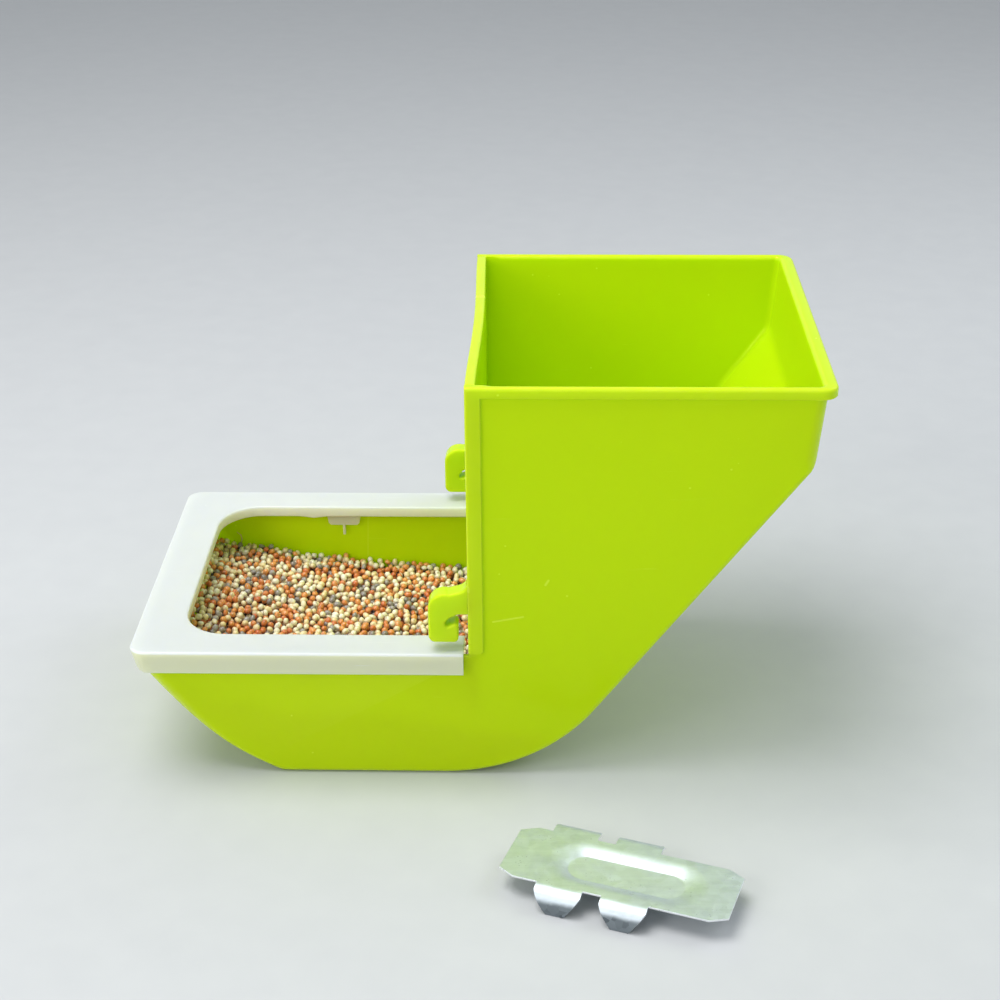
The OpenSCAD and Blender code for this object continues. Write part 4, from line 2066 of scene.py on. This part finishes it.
    def straw(self) -> bpy.types.Object:
        """Draw a bit of straw that leans on the tray's far side.

        Returns:
            The finished piece.
        """
        solid = Solid()
        rows = []
        for t in steps(10):
            x, y, z = (curve_at(list(zip(self.straw_bends, line)), t) for line in self.straw_line)
            radius = self.straw_r * (0.45 + 0.55 * math.sin(math.pi * (0.2 + 0.7 * t)))
            rows.append(solid.row([(px, py, z) for px, py in arc((x, y), radius, 0, 300, 5)]))
        solid.tube(rows)
        piece = shade(solid.place("straw_bit", self.sizes.seat_z), 60)
        piece.data.materials.append(self.straw_finish.material())
        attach(piece, "feeder")
        return piece

    def build(self) -> list[bpy.types.Object]:
        """Build and dress the heap.

        Returns:
            The bed, the seeds on it and the bit of straw.
        """
        return [self.bed(), self.seeds(), self.straw()]


# ---------------------------------------------------------------------------------------------
# Studio
# ---------------------------------------------------------------------------------------------


@dataclass(frozen=True)
class SoftLight:
    """Round soft light that points at a place."""

    at: Point
    towards: Point
    size: float
    power: float
    colour: Colour = (1.0, 1.0, 1.0)


@dataclass
class Studio:
    """Pale floor, soft lights and the camera."""

    sizes: Sizes
    camera_at: Point = (28.6, -682.7, 436.2)
    pitch: float = 26.69
    yaw: float = -1.467
    roll: float = -0.355
    lens: float = 65.33
    sensor: float = 36.0
    floor_half: float = 3000.0
    floor_gap: float = 0.05
    sky_colour: Colour = (0.90, 0.95, 1.0)
    sky_strength: float = 0.5
    lights: Sequence[SoftLight] = (
        SoftLight((-350.0, -100.0, 1300.0), (20.0, 0.0, 60.0), size=900.0, power=12.3),
        SoftLight((-900.0, -900.0, 700.0), (0.0, 0.0, 60.0), size=700.0, power=5.2),
        SoftLight((900.0, 300.0, 900.0), (0.0, 0.0, 80.0), 700.0, 3.6, (0.9, 0.96, 1.0)),
    )

    def spot(self, point: Point) -> Vector:
        """A place above the base, in metres in the frame."""
        return (Vector(point) - Vector((0.0, 0.0, self.sizes.seat_z))) * MM

    def floor(self) -> None:
        """Lay the floor just under the feeder's base."""
        half, z = self.floor_half, -self.floor_gap
        solid = Solid()
        solid.fill(solid.row([(-half, -half, z), (half, -half, z), (half, half, z), (-half, half, z)]))
        made = solid.place("floor", self.sizes.seat_z)
        if made.data.polygons[0].normal.z < 0:
            made.data.flip_normals()
        made.data.materials.append(Tabletop("tabletop").material())

    def light(self) -> None:
        """Hang the soft lights and set the sky."""
        for i, light in enumerate(self.lights):
            data = bpy.data.lights.new(f"soft_{i}", "AREA")
            data.shape = "DISK"
            data.size = light.size * MM
            data.energy = light.power
            data.color = light.colour
            lamp = bpy.data.objects.new(f"soft_{i}", data)
            bpy.context.scene.collection.objects.link(lamp)
            lamp.location = self.spot(light.at)
            aim = self.spot(light.towards) - self.spot(light.at)
            lamp.rotation_euler = aim.to_track_quat("-Z", "Y").to_euler()
        world = bpy.data.worlds.new("sky")
        bpy.context.scene.world = world
        world.use_nodes = True
        world.node_tree.nodes.clear()
        graph = Graph(world.node_tree)
        inputs = {"Color": self.sky_colour, "Strength": self.sky_strength}
        sky = graph.node("ShaderNodeBackground", inputs=inputs)
        graph.node("ShaderNodeOutputWorld", inputs={"Surface": sky})

    def camera(self) -> None:
        """Set the camera."""
        pitch, yaw, roll = (math.radians(a) for a in (self.pitch, self.yaw, self.roll))
        level = math.cos(pitch)
        ahead = Vector((math.sin(yaw) * level, math.cos(yaw) * level, -math.sin(pitch)))
        side = Vector((math.cos(yaw), -math.sin(yaw), 0.0))
        rise = side.cross(ahead)
        right = math.cos(roll) * side + math.sin(roll) * rise
        up = -math.sin(roll) * side + math.cos(roll) * rise
        data = bpy.data.cameras.new("camera")
        data.sensor_width = self.sensor
        data.lens = self.lens
        data.clip_start = 0.05
        data.clip_end = 20.0
        made = bpy.data.objects.new("camera", data)
        bpy.context.scene.collection.objects.link(made)
        basis = Matrix((right, up, -ahead)).transposed().to_4x4()
        made.matrix_world = Matrix.Translation(self.spot(self.camera_at)) @ basis
        bpy.context.scene.camera = made

    def build(self) -> None:
        """Build the whole studio."""
        self.floor()
        self.light()
        self.camera()
        bpy.context.scene.view_settings.view_transform = "Standard"


# ---------------------------------------------------------------------------------------------
# The whole feeder
# ---------------------------------------------------------------------------------------------


LIME_MARKS = {
    "crease over the top of the hook wall": Mark(
        (0.0, 0.0213, 0.0985), (0.0056, 0.0213, 0.0985), 0.0028, 0.6
    ),
    "speck inside the hopper": Mark((0.0048, 0.0416, 0.0592), (0.0048, 0.0421, 0.0596), 0.0007, 1.0),
    "scratch on the near panel": Mark((0.0099, -0.0696, -0.0031), (0.0216, -0.0697, -0.0007), 0.0006, 0.9),
    "scuff on the near panel": Mark((0.0303, -0.0703, 0.0140), (0.0314, -0.0704, 0.0160), 0.0007, 0.9),
    "gate mark on the cage edge": Mark((0.0003, -0.0712, 0.0112), (0.0003, -0.0713, 0.0130), 0.0009, 0.8),
    "mould line inside the tray": Mark((-0.0520, 0.0661, -0.0266), (-0.0527, 0.0652, -0.0472), 0.0005, 0.4),
}


def lime_moulding() -> Moulding:
    """The green plastic of the hopper, the tray and the hook wall.

    Returns:
        The finish.
    """
    return Moulding(
        "lime_moulding",
        pale=(0.57, 0.80, 0.004),
        deep=(0.545, 0.775, 0.004),
        worn_and_highlit=(0.72, 0.92, 0.07),
        gloss=0.12,
        matt=0.22,
        specular=0.45,
        sheen_of=(0.80, 1.0, 0.12),
        glow_depth=(0.9, 1.0, 0.1),
        glow_scale=0.008,
        marks=tuple(LIME_MARKS.values()),
    )


def milky_moulding(sizes: Sizes) -> Moulding:
    """The white plastic of the guard ring, with a painted glow that makes its side faces warmer where light
    passes through them, and brighter at the thin walls.

    Args:
        sizes: The feeder's sizes.

    Returns:
        The finish.
    """
    return Moulding(
        "milky_moulding",
        pale=(0.72, 0.755, 0.72),
        deep=(0.68, 0.715, 0.675),
        worn_and_highlit=(0.84, 0.87, 0.84),
        gloss=0.28,
        matt=0.42,
        glow_depth=(1.0, 0.98, 0.7),
        glow_scale=0.009,
        # Painted glow on the side faces and, brighter, on the thin walls.
        painted_side_glow=(1.08, 1.07, 0.74),
        side_from=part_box("guard_ring")[1].z,
        painted_thin_glow=(1.36, 1.32, 1.05),
        thin_half=sizes.half(sizes.tray_h) * MM,
        thin_reach=sizes.tray_l * MM,
    )


def main() -> None:
    """Build every piece in order and report each one."""
    logging.basicConfig(level=logging.INFO, format="%(name)s: %(message)s")
    sizes = Sizes.of_model()
    green = lime_moulding()
    white = milky_moulding(sizes)
    # The zinc sheet's legs are given painted shade near the floor.
    zinc = Galvanised("zinc_sheet", turn=19.0, painted_shade_z=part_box("cage_clip")[0].z + 0.0045)
    # Cut edges painted near white: bare metal with a painted glint.
    cut = Galvanised("zinc_edge_painted_glint", bright=(0.95, 0.97, 1.0), dull=(0.75, 0.78, 0.8), turn=19.0)
    makers = [
        HopperShell(sizes, green),
        HookPanel(sizes, green),
        TrayGuard(sizes, white),
        SheetClip(sizes, zinc, cut),
        FeedHeap(sizes, Grain("seed_coat"), LooseBed("seed_bed"), DryStraw("dry_straw")),
    ]
    for maker in makers:
        made = maker.build()
        for piece in made if isinstance(made, list) else [made]:
            log.info("%s: %d faces", piece.name, len(piece.data.polygons))
    Studio(sizes).build()


if __name__ == "__main__":
    main()
